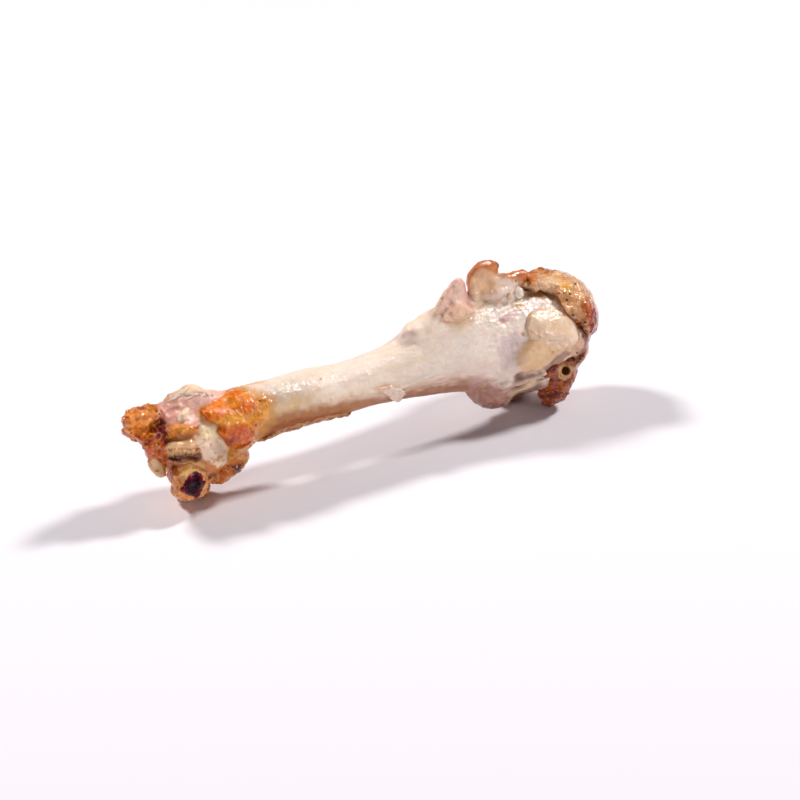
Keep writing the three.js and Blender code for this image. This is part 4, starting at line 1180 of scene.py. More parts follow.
ELBOW_AREAS = [
    ([(157, 405.6), (168.4, 402.1), (181.2, 395.6), (198.3, 389.9), (218.3, 387.1), (228.3, 388.5), (222.6, 395.6), (214, 402.1), (205.5, 404.2), (199.1, 410.6), (196.9, 425.6), (181.2, 426.3), (167, 425.6), (159.2, 417)], 0.8, 0.5, (244, 190, 172), 0.95),
    ([(159.2, 412.8), (167, 405.6), (177, 405.6), (178.4, 419.9), (169.8, 425.6), (159.9, 421.3)], 1.4, 0.6, (196, 132, 116), 0.6),
    ([(189.8, 398.5), (201.2, 393.5), (218.3, 392.8), (215.4, 398.5), (201.2, 403.5), (191.2, 404.2)], 1.2, 0.5, (226, 190, 178), 0.7),
    ([(172.7, 394.2), (181.2, 387.1), (194.1, 380.7), (202.6, 385), (209.8, 386.4), (208.3, 389.9), (195.5, 392.8), (181.2, 397.8), (172.7, 400.6)], 0.5, 0.4, (236, 210, 176), 0.8),
    ([(199.1, 410.6), (205.5, 404.2), (214, 402.1), (224, 395.6), (228, 388.5), (241.1, 387.4), (250.4, 394.9), (254.6, 407.1), (246.8, 414.2), (232.5, 414.2), (222.6, 417.7), (216.2, 423.4), (208.3, 420.6), (201.9, 415.6)], 0.8, 0.5, (238, 126, 30), 0.95),
    ([(209.8, 407.1), (224, 402.8), (243.9, 394.2), (249.6, 401.4), (238.2, 408.5), (224, 412.8)], 1, 0.8, (242, 144, 40), 0.7),
    ([(216.2, 423.4), (222.6, 417.7), (232.5, 414.2), (246.8, 414.2), (252.5, 421.3), (246.8, 425.6), (232.5, 427), (222.6, 428.4)], 0.7, 0.5, (244, 166, 62), 0.85),
    ([(216.2, 432.7), (222.6, 427.7), (232.5, 427), (246.8, 424.9), (256.1, 429.9), (257.5, 441.2), (250.4, 446.9), (238.2, 447.7), (228.3, 443.4)], 0.8, 0.5, (214, 102, 6), 0.95),
    ([(224, 437), (231.1, 437), (235.4, 444.1), (231.1, 447.7), (225.4, 443.4)], 0.6, 0.5, (150, 58, 18), 0.85),
    ([(253.2, 398.5), (268.9, 398.5), (270.3, 412.8), (268.2, 422.7), (259.6, 430.6), (252.5, 424.1), (246.8, 415.6), (254.6, 407.1)], 1, 0.6, (226, 142, 34), 0.9),
    ([(261, 402.8), (268.9, 402.8), (268.2, 417), (262.5, 421.3)], 0.8, 0.4, (234, 176, 92), 0.6),
    ([(226.8, 452.6), (232.5, 449.8), (243.9, 447.7), (252.5, 449.8), (250.4, 456.9), (242.5, 461.9), (232.5, 463.3), (227.7, 461.2)], 0.6, 0.3, (208, 138, 66), 0.95),
    ([(231.1, 464.8), (238.2, 463.3), (250.4, 461.2), (249.6, 465.5), (241.8, 470.5), (234, 474), (230.4, 470.5)], 0.5, 0.4, (72, 26, 26), 0.95),
    ([(194.9, 434.1), (202.6, 426.3), (215.7, 425.3), (216.2, 432.7), (219.7, 437), (209.8, 439.1), (201.2, 438.4), (193.4, 441.2)], 0.5, 0.3, (246, 224, 184), 0.95),
    ([(195.5, 441.2), (209.8, 438.4), (219.7, 438.1), (224.7, 444.1), (228.3, 454.1), (227.1, 462.6), (220.4, 470.5), (210.5, 470.5), (203.3, 462.6), (201.2, 452.6)], 0.5, 0.3, (250, 220, 190), 0.95),
    # painted shade on the condyle's right side
    ([(216.2, 441.2), (222.6, 444.1), (227.6, 454.1), (226.1, 461.2), (220.4, 461.2), (216.9, 451.2)], 0.9, 0.3, (184, 158, 134), 0.7),
    ([(202.6, 461.2), (209.8, 462.6), (218.3, 468.3), (222.6, 464.1), (224, 469.8), (215.4, 474), (206.9, 471.2)], 0.5, 0.4, (206, 122, 50), 0.9),
    ([(165.3, 445.5), (172.7, 441.2), (184.1, 439.5), (194.1, 441), (196.9, 446.9), (189.8, 452.9), (177, 454.4), (167, 451.9)], 0.35, 0.25, (246, 198, 146), 0.95),
    # painted shade in the hollow under the lip, with a near-black line in the gap, this line and the next
    ([(166.3, 453.8), (178.4, 455.2), (189.8, 453.4), (201.2, 451.5), (203.3, 461.2), (195.5, 461.9), (184.1, 459.8), (175.6, 461.9), (167, 459.5)], 0.3, 0.25, (116, 70, 50), 0.95),
    ([(164.9, 455.5), (172.7, 457.2), (181.2, 458.6), (181, 461.2), (172.7, 461.2), (165.9, 459.8)], 0.25, 0.2, (44, 20, 14), 0.95),
    ([(166.3, 427), (177, 423.4), (189.8, 425.3), (197.6, 427.3), (194.1, 433.4), (181.2, 437.7), (169.8, 440.1), (164.9, 434.1)], 0.6, 0.5, (222, 136, 56), 0.95),
    # painted highlight along the orange ridge
    ([(177, 426.3), (189.8, 426.3), (195.5, 428.1), (189.8, 431.3), (178.4, 431.3)], 0.6, 0.5, (236, 168, 88), 0.7),
    ([(171.3, 437), (181.2, 434.8), (194.1, 433.4), (193.4, 436.7), (181.2, 440.1), (171.3, 442)], 0.5, 0.3, (178, 124, 66), 0.8),
    ([(152.8, 419.9), (162.7, 417.7), (167.3, 426.3), (168.7, 438.4), (164.9, 444.8), (157.7, 442), (152.8, 431.3)], 0.7, 0.6, (124, 40, 18), 0.9),
    ([(121.4, 419.9), (133.5, 408.5), (147.8, 404.2), (157, 407.8), (152.8, 419.9), (153.5, 431.3), (144.2, 437.7), (127.1, 436.3), (121.4, 431.3)], 0.8, 0.6, (248, 154, 72), 0.85),
    ([(121.4, 427), (124.2, 417), (135.7, 408.5), (149.9, 404.9), (150.6, 407.3), (137.1, 411.3), (126.4, 419.2), (124.2, 428.4), (127.1, 434.8), (122.8, 434.1)], 0.5, 0.4, (146, 66, 36), 0.75),
    ([(138.5, 438.1), (152.8, 437), (165.6, 444.1), (166.3, 461.2), (164.2, 469.8), (157.7, 457.2), (148.2, 457.2), (144.2, 445.5)], 0.6, 0.6, (190, 94, 48), 0.9),
    ([(178.4, 461.9), (189.8, 460.1), (198.3, 461.9), (204.1, 468.3), (205.5, 478.3), (198.3, 472.6), (189.8, 472.6), (181.2, 481.1), (177, 472.6)], 0.8, 0.6, (255, 202, 138), 0.85),
    ([(165.3, 461.2), (175.6, 462.6), (177, 472.6), (172.7, 478.3), (167, 476.9)], 0.7, 0.6, (170, 82, 36), 0.85),
    ([(170.6, 484), (181.2, 482.6), (189.8, 496.8), (204.1, 495.4), (201.2, 500.4), (181.2, 502.5), (171.3, 494)], 0.8, 0.6, (234, 146, 78), 0.85),
    ([(209.8, 471.9), (218.3, 468.3), (231.1, 469.8), (234, 474.7), (224, 482.6), (212.6, 485.4), (210.5, 479.7)], 0.6, 0.5, (196, 112, 48), 0.9)]


class Canvas:
    """One piece while it is coloured."""

    def __init__(self, name, base):
        m = MADE[name]
        self.name, self.v, self.q, self.m = name, m["v"], m["q"], m
        self.p = self.v.astype(float)
        self.n = normals(self.v, self.q)
        self.rags = [fbm(self.p, s, 3, 40 + k) for k, s in enumerate((1.3, 1.0, 1.8))]
        self.c = np.broadcast_to(base, (len(self.v), 3)).astype(float).copy() if np.ndim(base) == 1 else base

    def mark(self, marks, radius, soft=1.0, ragged=0.0, k=0, who=None):
        pts = [place(m, who) for m in marks]
        if len(pts) == 1:
            pts = pts * 2
        lo, hi = np.min(pts, 0) - radius - soft - 1.5, np.max(pts, 0) + radius + soft + 1.5
        near = ((self.p > lo) & (self.p < hi)).all(1)
        out = np.zeros(len(self.p))
        p = self.p[near]
        best = np.full(len(p), 1e9)
        for a, b in zip(pts, pts[1:]):
            ab = b - a
            t = np.clip(((p - a) @ ab) / max(float(ab @ ab), 1e-9), 0, 1)
            best = np.minimum(best, ((p - a - t[:, None] * ab) ** 2).sum(1))
        d = np.sqrt(best) - radius + ragged * self.rags[k % 3][near]
        out[near] = 1 - step(d, -soft / 2, soft / 2)
        return out

    def fill(self, points, soft=0.6, ragged=0.0, k=0):
        """1 inside an outline in the view, on what faces the viewer."""
        d = outline(P_of(self.p), points) + ragged * self.rags[k % 3]
        return (1 - step(d, -soft / 2, soft / 2)) * step(self.n @ BACK, -0.12, 0.1)

    def areas(self, jobs):
        for k, (points, soft, ragged, colour, amount) in enumerate(jobs):
            self.tone(colour, self.fill(points, soft, ragged, k) * amount)

    def tone(self, colour, amount):
        self.c = mix(self.c, rgb(*colour), amount)

    def lay(self, jobs):
        for k, (marks, radius, soft, ragged, colour, amount) in enumerate(jobs):
            self.tone(colour, self.mark(marks, radius, soft, ragged, k) * amount)

    def mottle(self, light, dark, size=0.75, share=0.5, seed=50):
        """Fine uneven browning: little light and dark patches."""
        f = fbm(self.p, size, 3, seed)
        g = fbm(self.p, size * 1.3, 3, seed + 7)
        self.tone(light, step(f, 0.12, 0.5) * share)
        self.tone(dark, step(g, 0.15, 0.55) * share)

    def done(self, title, rough, material, nodes):
        piece(title, self.v, self.q, self.c, rough, material, nodes)


def paint_bone():
    b = Canvas("bone", rgb(246, 226, 208))
    p, n = b.p, b.n
    x, y, z = p.T
    big, mid, fine = fbm(p, 6, 3, 20), fbm(p, 1.8, 3, 24), fbm(p, (1.6, 0.5, 0.5), 2, 29)
    head, left, back = step(x, 14, 22), step(-x, 27.0, 31.0), step(y, 0.5, 3.0)
    b.tone((246, 226, 212), step(x + 2 * big, 4, 18))
    b.tone((228, 206, 170), step(fbm(p, (9, 2, 2), 3, 33), 0.1, 0.6) * 0.35)
    # painted shade: faces turned down are darkened and browned, partly the browned juices there
    down = step(-n[:, 2] - 0.15 * n[:, 1], 0.1, 0.85)
    b.tone((174, 118, 82), down * (0.95 - 0.25 * head))
    # painted light: faces turned up along the shaft are lightened
    b.tone((230, 208, 192), step(n[:, 2], 0.35, 0.95) * (1 - head) * 0.6)
    b.areas(SHAFT_AREAS)
    b.lay(SHAFT_TONES)
    b.tone((208, 148, 104), left * 0.85)
    near_curl = step(-np.minimum(curl_shape(P_of(p)), web_shape(P_of(p))), -1.3, -0.1)
    b.tone((222, 184, 152), near_curl * 0.8)
    b.tone((228, 192, 168), 0.8 * step(-meat_shape(P_of(p)), -1.0, 0.0))
    b.tone((176, 96, 44), 0.75 * step(-tip_shape(P_of(p)), -0.8, 0.0) * left)
    # browning runs out from the skins' edges
    d1 = skin_area(P_of(p)) + 0.5 * b.rags[0]
    b.tone((210, 150, 88), step(-d1, -1.6, -0.1) * 0.8)
    d2 = hood_area(P_of(p)) + 0.4 * b.rags[1]
    b.tone((206, 158, 118), step(-d2, -1.1, 0.0) * 0.8)
    b.areas(HEAD_AREAS)
    b.lay(HEAD_DETAILS)
    b.tone((234, 198, 166), step(-blob(P_of(p), **CARTILAGE_DISC), 0.0, 0.4))
    b.areas(ELBOW_AREAS)
    b.lay(ELBOW_DETAILS)
    freck = step(fbm(p, 0.9, 2, 4), 0.22, 0.42) * b.mark([(205, 440), (214, 456), (222, 466)], 1.9, 1.0)
    b.tone((206, 118, 46), freck * 0.75)
    b.tone((226, 192, 164), back * step(fbm(p, (9, 4, 4), 3, 61), 0.05, 0.5) * 0.7)
    b.tone((200, 150, 134), back * head * step(fbm(p, (4, 3, 3), 3, 66), 0.0, 0.5) * 0.55)
    b.tone((184, 118, 62), back * left * step(fbm(p, 2.5, 3, 68), -0.05, 0.35) * 0.8)
    b.tone((224, 186, 146), back * step(x, 26, 33) * step(z, 7, 10) * 0.6)
    # painted shade: darker and browner within 1.6 mm of the floor, where the bone meets it
    b.tone((196, 144, 96), step(-z, -1.6, -0.1) * 0.5)
    b.c = b.c * (1 + 0.045 * mid + 0.035 * fine + 0.03 * big)[:, None]
    dots = [(321, 379, 0.22, (150, 84, 34)), (331, 400, 0.15, (140, 80, 36)), (523, 334, 0.36, (196, 128, 40)), (553, 352, 0.22, (190, 100, 30)),
            (484, 387, 0.22, (226, 190, 112)), (352, 396, 0.14, (206, 150, 70))]
    for u, w, r, col in dots:
        b.tone(col, b.mark([(u, w)], r, 0.3, 0.1, 3) * 0.85)
    rough = 0.455 + 0.05 * mid - 0.12 * b.mark([(262, 396), (280, 390), (298, 384)], 2.0, 4) - 0.17 * head * step(-y, 0, 3) - 0.15 * left
    b.done("bone_shaft", rough, BONE, ("bone",))


def paint_rest():
    # cartilage disc
    b = Canvas("disc", mix(rgb(240, 206, 174), rgb(244, 216, 190), step(fbm(MADE["disc"]["v"], 2.2, 3, 8), -0.3, 0.4)))
    # painted highlight along the disc's top
    b.tone((238, 218, 196), b.mark([(538, 316), (552, 313), (562, 318)], 0.5, 1.6, 0.4, 2) * 0.5)
    b.tone((168, 94, 46), b.mark([(528, 326), (530, 318)], 0.08, 0.35, 0.1, 3) * 0.9)
    b.tone((192, 132, 80), b.mark([(531, 331), (541, 338), (552, 341), (566, 340)], 0.03, 0.3, 0.12, 4) * 0.7)
    b.tone((150, 96, 50), b.mark([(555, 324)], 0.08, 0.2) * 0.8)
    b.tone((232, 188, 152), step(blob(P_of(b.p), **CARTILAGE_DISC), -0.9, 0.1) * 0.5)
    b.c = b.c * (1 + 0.05 * fbm(b.p, 1.4, 3, 11))[:, None]
    b.done("cartilage_disc", 0.32 + 0.06 * noise(b.p, 1.2, 4), CARTILAGE, ("head_cartilage",))

    # skin on the head
    p = MADE["hood"]["v"]
    lumps = MADE["hood"]["lumps"]
    tone, fine, mid = fbm(p, 3.4, 3, 30), fbm(p, 0.8, 3, 34), fbm(p, 1.7, 3, 37)
    b = Canvas("hood", mix(rgb(220, 162, 112), rgb(232, 188, 148), step(tone, -0.35, 0.35)))
    b.tone((190, 112, 56), step(mid, 0.0, 0.5) * 0.45)
    # painted light and shade: lighter on the lumps' raised crests, darker in the dips between them
    b.tone((232, 196, 156), step(lumps, 0.2, 0.7) * 0.35)
    b.tone((172, 96, 46), step(-lumps, 0.35, 0.8) * 0.3)
    inner = step(0.75 - core(P_of(p)), 0.0, 0.5) * (1 - step(-hood_area(P_of(p)), 0.4, 1.4))
    b.tone((224, 184, 148), inner * 0.7)
    b.mottle((240, 208, 172), (186, 108, 58), 1.0, 0.3)
    b.areas(HEAD_AREAS)
    b.lay(HEAD_DETAILS)
    b.mottle((244, 214, 180), (184, 104, 54), 0.9, 0.3, 90)
    back = step(b.p[:, 1], 1.0, 4.0)
    b.tone((184, 112, 58), back * step(fbm(p, 3.0, 3, 71), -0.1, 0.4) * 0.6)
    b.tone((150, 80, 40), back * step(fbm(p, 1.6, 3, 75), 0.2, 0.6) * 0.45)
    b.c = b.c * (1 + 0.05 * fine + 0.05 * tone)[:, None]
    b.done("hood_skin", 0.28 + 0.06 * fine, CRUST, ("shoulder_skin",))

    # curl
    b = Canvas("curl", mix(rgb(212, 168, 132), rgb(222, 184, 150), step(fbm(MADE["curl"]["v"], 2, 3, 5), -0.3, 0.4)))
    b.tone((198, 134, 88), step(b.p[:, 2] + 0.5 * noise(b.p, 1.4, 6), 22.6, 25.2) * 0.9)
    b.areas(HEAD_AREAS)
    b.lay(HEAD_DETAILS)
    b.tone((190, 124, 72), step(b.p[:, 1], 0.2, 1.4) * 0.5)
    b.c = b.c * (1 + 0.06 * fbm(b.p, 0.9, 3, 8))[:, None]
    b.done("skin_curl", 0.28 + 0.05 * noise(b.p, 1, 3), FILM, ("skin_curl",))

    # meat
    b = Canvas("meat", mix(rgb(236, 202, 182), rgb(226, 184, 164), step(fbm(MADE["meat"]["v"], 2.2, 3, 5), -0.3, 0.4)))
    b.areas(HEAD_AREAS)
    b.lay(HEAD_DETAILS)
    b.c = b.c * (1 + 0.06 * fbm(b.p, 0.8, 3, 8))[:, None]
    b.done("meat_tag", 0.36 + 0.06 * noise(b.p, 1, 3), MEAT, ("meat_tag",))

    # browned gristle with the cut vein
    m = MADE["gristle"]
    p, near, ring = m["v"], m["near"], m["ring"]
    b = Canvas("gristle", mix(rgb(140, 62, 18), rgb(182, 98, 34), step(fbm(p, 1.8, 3, 5), -0.3, 0.4)))
    b.tone((92, 38, 18), step(fbm(p, 1.5, 3, 9), 0.0, 0.4) * 0.7)
    b.tone((188, 102, 40), step(fbm(p, 1.5, 2, 14), 0.15, 0.55) * 0.6)
    # painted light and shade: lighter on the lumps' raised crests, darker in the dips between them
    b.tone((206, 128, 62), step(m["lumps"], 0.35, 0.8) * 0.45)
    b.tone((84, 38, 24), step(-m["lumps"], 0.3, 0.8) * 0.5)
    b.tone((112, 56, 32), b.mark([(562, 398), (571, 386)], 0.9, 1.6, 0.5, 1) * 0.6)
    b.tone((220, 178, 128), near * 0.85)
    b.tone((128, 62, 34), near * (1 - step(ring, 0.55, 0.85)) * 0.95)
    b.tone((214, 180, 130), b.mark([(574, 368), (578, 376)], 0.3, 0.7, 0.2, 1) * 0.8)
    # painted shade: darker where the gristle meets the floor
    b.tone((104, 58, 38), (1 - m["low"]) * 0.4)
    b.mottle((212, 126, 50), (84, 34, 16), 1.1, 0.25)
    b.c = b.c * (1 + 0.06 * fbm(p, 0.6, 3, 8))[:, None]
    b.done("vein_gristle", 0.29 + 0.07 * noise(p, 0.8, 3), GRISTLE_MAT, ("vein_gristle",))

    # skin at the elbow
    m = MADE["elbow_skin"]
    p = m["v"]
    tone, fine = fbm(p, 2.4, 3, 30), fbm(p, 0.8, 3, 34)
    b = Canvas("elbow_skin", mix(rgb(212, 112, 34), rgb(226, 142, 56), step(tone, -0.3, 0.35)))
    b.mottle((244, 170, 72), (176, 76, 16), 0.9, 0.4)
    b.tone((190, 88, 24), step(fbm(p, 1.5, 3, 36), 0.05, 0.5) * 0.5)
    b.areas(ELBOW_AREAS[4:])
    b.lay(ELBOW_DETAILS[1:])
    # painted light and shade: lighter on the lumps' raised crests, darker in the dips between them
    b.tone((246, 176, 84), step(m["lumps"], 0.3, 0.8) * 0.35)
    b.tone((180, 72, 14), step(-m["lumps"], 0.25, 0.8) * 0.35)
    back = step(b.p[:, 1], 1.0, 3.5)
    b.tone((206, 128, 60), back * step(fbm(p, 2.6, 3, 71), -0.2, 0.3) * 0.6)
    b.tone((216, 178, 118), back * step(fbm(p, 1.9, 3, 75), 0.15, 0.5) * 0.6)
    edge = step(skin_area(P_of(p)), -0.7, 0.2) * step(b.p[:, 0], -24, -21)
    b.tone((222, 184, 134), edge * 0.7)
    b.tone((224, 196, 160), step(b.p[:, 2], 15.2, 16.4) * step(b.p[:, 1], -1.2, 0.2) * 0.7)
    b.mottle((248, 180, 84), (168, 62, 10), 0.7, 0.4, 90)
    b.c = b.c * (1 + 0.05 * fine)[:, None]
    b.done("elbow_skin", 0.26 + 0.06 * fine, ORANGE, ("elbow_skin",))

    # the elbow's tip and knob
    m = MADE["tip"]
    p = m["v"]
    tone, fine = fbm(p, 1.8, 3, 30), fbm(p, 0.6, 3, 34)
    b = Canvas("tip", mix(rgb(208, 110, 40), rgb(228, 146, 72), step(tone, -0.3, 0.35)))
    b.mottle((240, 166, 80), (132, 46, 14), 0.85, 0.4)
    b.tone((150, 60, 22), step(fbm(p, 1.3, 3, 36), 0.0, 0.45) * 0.5)
    b.areas(ELBOW_AREAS)
    b.lay(ELBOW_DETAILS)
    # painted light and shade: lighter on the lumps' raised crests, darker in the dips between them
    b.tone((244, 178, 100), step(m["lumps"], 0.3, 0.8) * 0.4)
    b.tone((104, 34, 14), step(-m["lumps"], 0.3, 0.8) * 0.45)
    b.mottle((244, 172, 84), (124, 40, 14), 0.7, 0.45, 90)
    b.c = b.c * (1 + 0.06 * fine)[:, None]
    b.done("elbow_tip", 0.28 + 0.07 * fine, CRUST, ("elbow_tip",))

    m = MADE["knob"]
    p = m["v"]
    tone, fine = fbm(p, 1.8, 3, 30), fbm(p, 0.6, 3, 34)
    b = Canvas("knob", mix(rgb(236, 150, 78), rgb(248, 182, 112), step(tone, -0.3, 0.35)))
    b.mottle((246, 184, 108), (156, 66, 22), 0.85, 0.35)
    b.tone((186, 86, 30), step(fbm(p, 1.3, 3, 36), 0.0, 0.45) * 0.45)
    b.areas(ELBOW_AREAS)
    b.lay(ELBOW_DETAILS)
    # painted light and shade: lighter on the lumps' raised crests, darker in the dips between them
    b.tone((246, 188, 120), step(m["lumps"], 0.3, 0.8) * 0.4)
    b.tone((150, 62, 26), step(-m["lumps"], 0.3, 0.8) * 0.2)
    b.mottle((252, 196, 124), (160, 70, 28), 0.7, 0.3, 90)
    k = burn(p)
    b.tone((112, 34, 36), step(k, 0.02, 0.6) * 0.85)
    b.tone((44, 14, 22), step(k, 0.6, 0.95))
    b.c = b.c * (1 + 0.06 * fine)[:, None]
    b.done("elbow_knob", 0.30 + 0.07 * fine - 0.1 * k, CRUST, ("elbow_knob",))

    b = Canvas("burn", mix(rgb(44, 6, 28), rgb(22, 4, 16), step(fbm(MADE["burn"]["v"], 0.8, 2, 44), -0.2, 0.3)))
    b.tone((112, 18, 44), step(outline(P_of(b.p), BURN_OUT) + 0.35 * b.rags[1], -0.55, -0.05) * 0.85)
    b.done("burnt_patch", 0.3, BURNT, ())

    b = Canvas("pouch", mix(rgb(196, 146, 98), rgb(216, 178, 132), step(fbm(MADE["pouch"]["v"], 1.4, 2, 3), -0.2, 0.3)))
    b.tone((232, 204, 168), b.fill(POUCH_IN, 0.3, 0.1) * 0.8)
    b.tone((150, 88, 44), b.mark([(150, 458), (154, 457), (159, 463), (161, 471), (156, 474)], 0.04, 0.35, 0.1, 1) * 0.7)
    b.tone((176, 104, 60), b.mark([(160, 458), (164, 466), (165, 476)], 0.15, 0.7, 0.15, 1) * 0.6)
    b.done("elbow_pouch", 0.16, FILM, ("elbow_pouch",))

    b = Canvas("scrap", mix(rgb(234, 210, 192), rgb(220, 184, 162), step(fbm(MADE["scrap"]["v"], 1.0, 2, 5), -0.1, 0.4)))
    b.done("shaft_scrap", 0.3, FILM, ("shaft_scrap",))

    p = MADE["dripping"]["v"]
    b = Canvas("dripping", mix(rgb(190, 130, 80), rgb(206, 156, 106), step(fbm(p, 1.8, 3, 5), -0.3, 0.4)))
    b.tone((142, 80, 42), step(fbm(p, 0.9, 3, 9), 0.0, 0.4) * 0.7)
    b.tone((178, 98, 40), step(7.0 - p[:, 2] + 0.5 * noise(p, 1.2, 5), -0.3, 0.9) * 0.7)
    b.c = b.c * (1 + 0.09 * fbm(p, 0.7, 3, 8))[:, None]
    b.done("dripping_strip", 0.33, ORANGE, ("dripping_strip",))


# ---------------------------------------------------------------- small things that lie on the rest


def film():
    """Ragged shreds of membrane along the elbow's top."""
    parts, cols = [], []
    r = np.random.default_rng(12)
    for k in range(14):
        s = k / 13
        a, b = 176 + 35 * s, 395 - 6.5 * math.sin(s * 2.4) + 3 * s + r.uniform(-1.0, 3.0)
        o, nn, _ = on(a, b + 2.0, ("bone",))
        along = np.array([r.uniform(0.6, 1.3) * r.choice((-1, 1)), r.uniform(-0.5, 0.6), r.uniform(-0.1, 0.3)])
        along = along - nn * (along @ nn) * 0.8
        p1 = o + nn * 0.05
        p2 = p1 + along * 0.6 + nn * r.uniform(0.0, 0.12)
        p3 = p1 + along * r.uniform(1.0, 1.5) + nn * r.uniform(-0.1, 0.25)
        w = r.uniform(0.10, 0.28)
        parts.append(strand([o - nn * 0.1 - along * 0.3, p1, p2, p3], (w * 0.6, w, w * 0.8, w * 0.2), 8, 12, flat=0.16, side=tuple(nn)))
        cols.append(mix(rgb(226, 192, 168), rgb(240, 214, 192), r.random()))
    v, f = join(parts)
    piece("elbow_film", v, f, tinted(parts, cols), 0.28, FILM, ())


def nodules():
    parts, cols = [], []
    o, nn, _ = on(518, 293)
    parts.append(lump(o + nn * 0.15, nn, 0.85, 0.8, 3, BALL3, 0.2))
    cols.append(rgb(236, 222, 208))
    o, nn, _ = on(509, 296)
    parts.append(lump(o + nn * 0.1, nn, 0.6, 0.6, 5, BALL3, 0.3))
    cols.append(rgb(224, 194, 164))
    v, f = join(parts)
    piece("nodules", v, f, tinted(parts, cols), 0.22, FILM, ())
    a, b, e = [on(*m)[0] + on(*m)[1] * 0.2 for m in ((182, 418), (186, 412), (180, 421))]

    def field(P):
        d = soft_min(rod(P, a, b, 0.62, 0.5), rod(P, a, e, 0.55, 0.35), 0.3)
        return d + wobble(P, 0.7, 0.2, 3)

    v, q = grow_mesh(np.minimum(np.minimum(a, b), e) - 1.3, np.maximum(np.maximum(a, b), e) + 1.3, 0.09, field)
    piece("white_bit", v, q, mix(rgb(232, 206, 176), rgb(242, 224, 200), step(fbm(v, 0.9, 2, 3), -0.2, 0.3)), 0.25, FILM, ())


def fibres():
    parts, cols = [], []

    def lay(marks, radii, col, lift=0.0, flat=0.6, sides=6):
        pts = []
        for a, b in marks:
            o, nn, _ = on(a, b)
            pts.append(o + nn * lift)
        parts.append(strand(pts, radii, sides, flat=flat))
        cols.append(col)

    white, cream, yellow = rgb(232, 220, 212), rgb(226, 200, 166), rgb(222, 190, 126)
    lay([(484, 318), (498, 308), (514, 302), (528, 301)], (0.04, 0.10, 0.08, 0.03), white)
    lay([(490, 326), (504, 316), (518, 309)], (0.04, 0.08, 0.04), white)
    lay([(478, 309), (490, 301), (506, 296), (520, 297)], (0.05, 0.10, 0.1, 0.04), cream)
    lay([(507, 395), (522, 389), (539, 382)], (0.06, 0.14, 0.08), cream)
    lay([(481, 391), (486, 384)], (0.05, 0.07), yellow)
    lay([(396, 382), (420, 377), (446, 368)], (0.03, 0.06, 0.03), rgb(242, 228, 212))
    lay([(404, 384), (424, 377)], (0.03, 0.03), rgb(240, 226, 208))
    v, f = join(parts)
    piece("fibres", v, f, tinted(parts, cols), 0.3, FILM, ())


def lashes():
    """The torn, dark-tipped fringe that hangs over the elbow's hollow."""
    parts, cols = [], []
    r = np.random.default_rng(5)
    for k in range(30):
        s = (k + r.uniform(-0.6, 0.6)) / 29
        a, b = 168 + 31 * s, 449.5 - 1.0 * math.sin(s * 3) + 1.0 * s + r.uniform(-1.0, 0.6)
        o, nn, _ = on(a, b, ("bone", "tip"))
        drop = r.uniform(0.35, 1.25) * (1.1 - 0.4 * s)
        side = np.array([r.uniform(-0.9, 0.5), 0, 0])
        p1 = o + nn * 0.12
        p2 = p1 + side * 0.4 + np.array([0, -0.22, -0.4 * drop])
        p3 = p2 + side * 0.6 + np.array([0, 0.02, -0.7 * drop])
        parts.append(strand([o - nn * 0.15, p1, p2, p3], (0.11, 0.12, 0.07, 0.012), 5, 10))
        t = np.clip((parts[-1][0][:, 2] - p3[2]) / max(p1[2] - p3[2], 0.1), 0, 1)
        cols.append(mix(rgb(96, 56, 34), rgb(238, 190, 142), step(t, 0.0, 0.65)))
    v, f = join(parts)
    piece("elbow_fringe", v, f, np.vstack(cols), 0.4, GRISTLE_MAT, ())


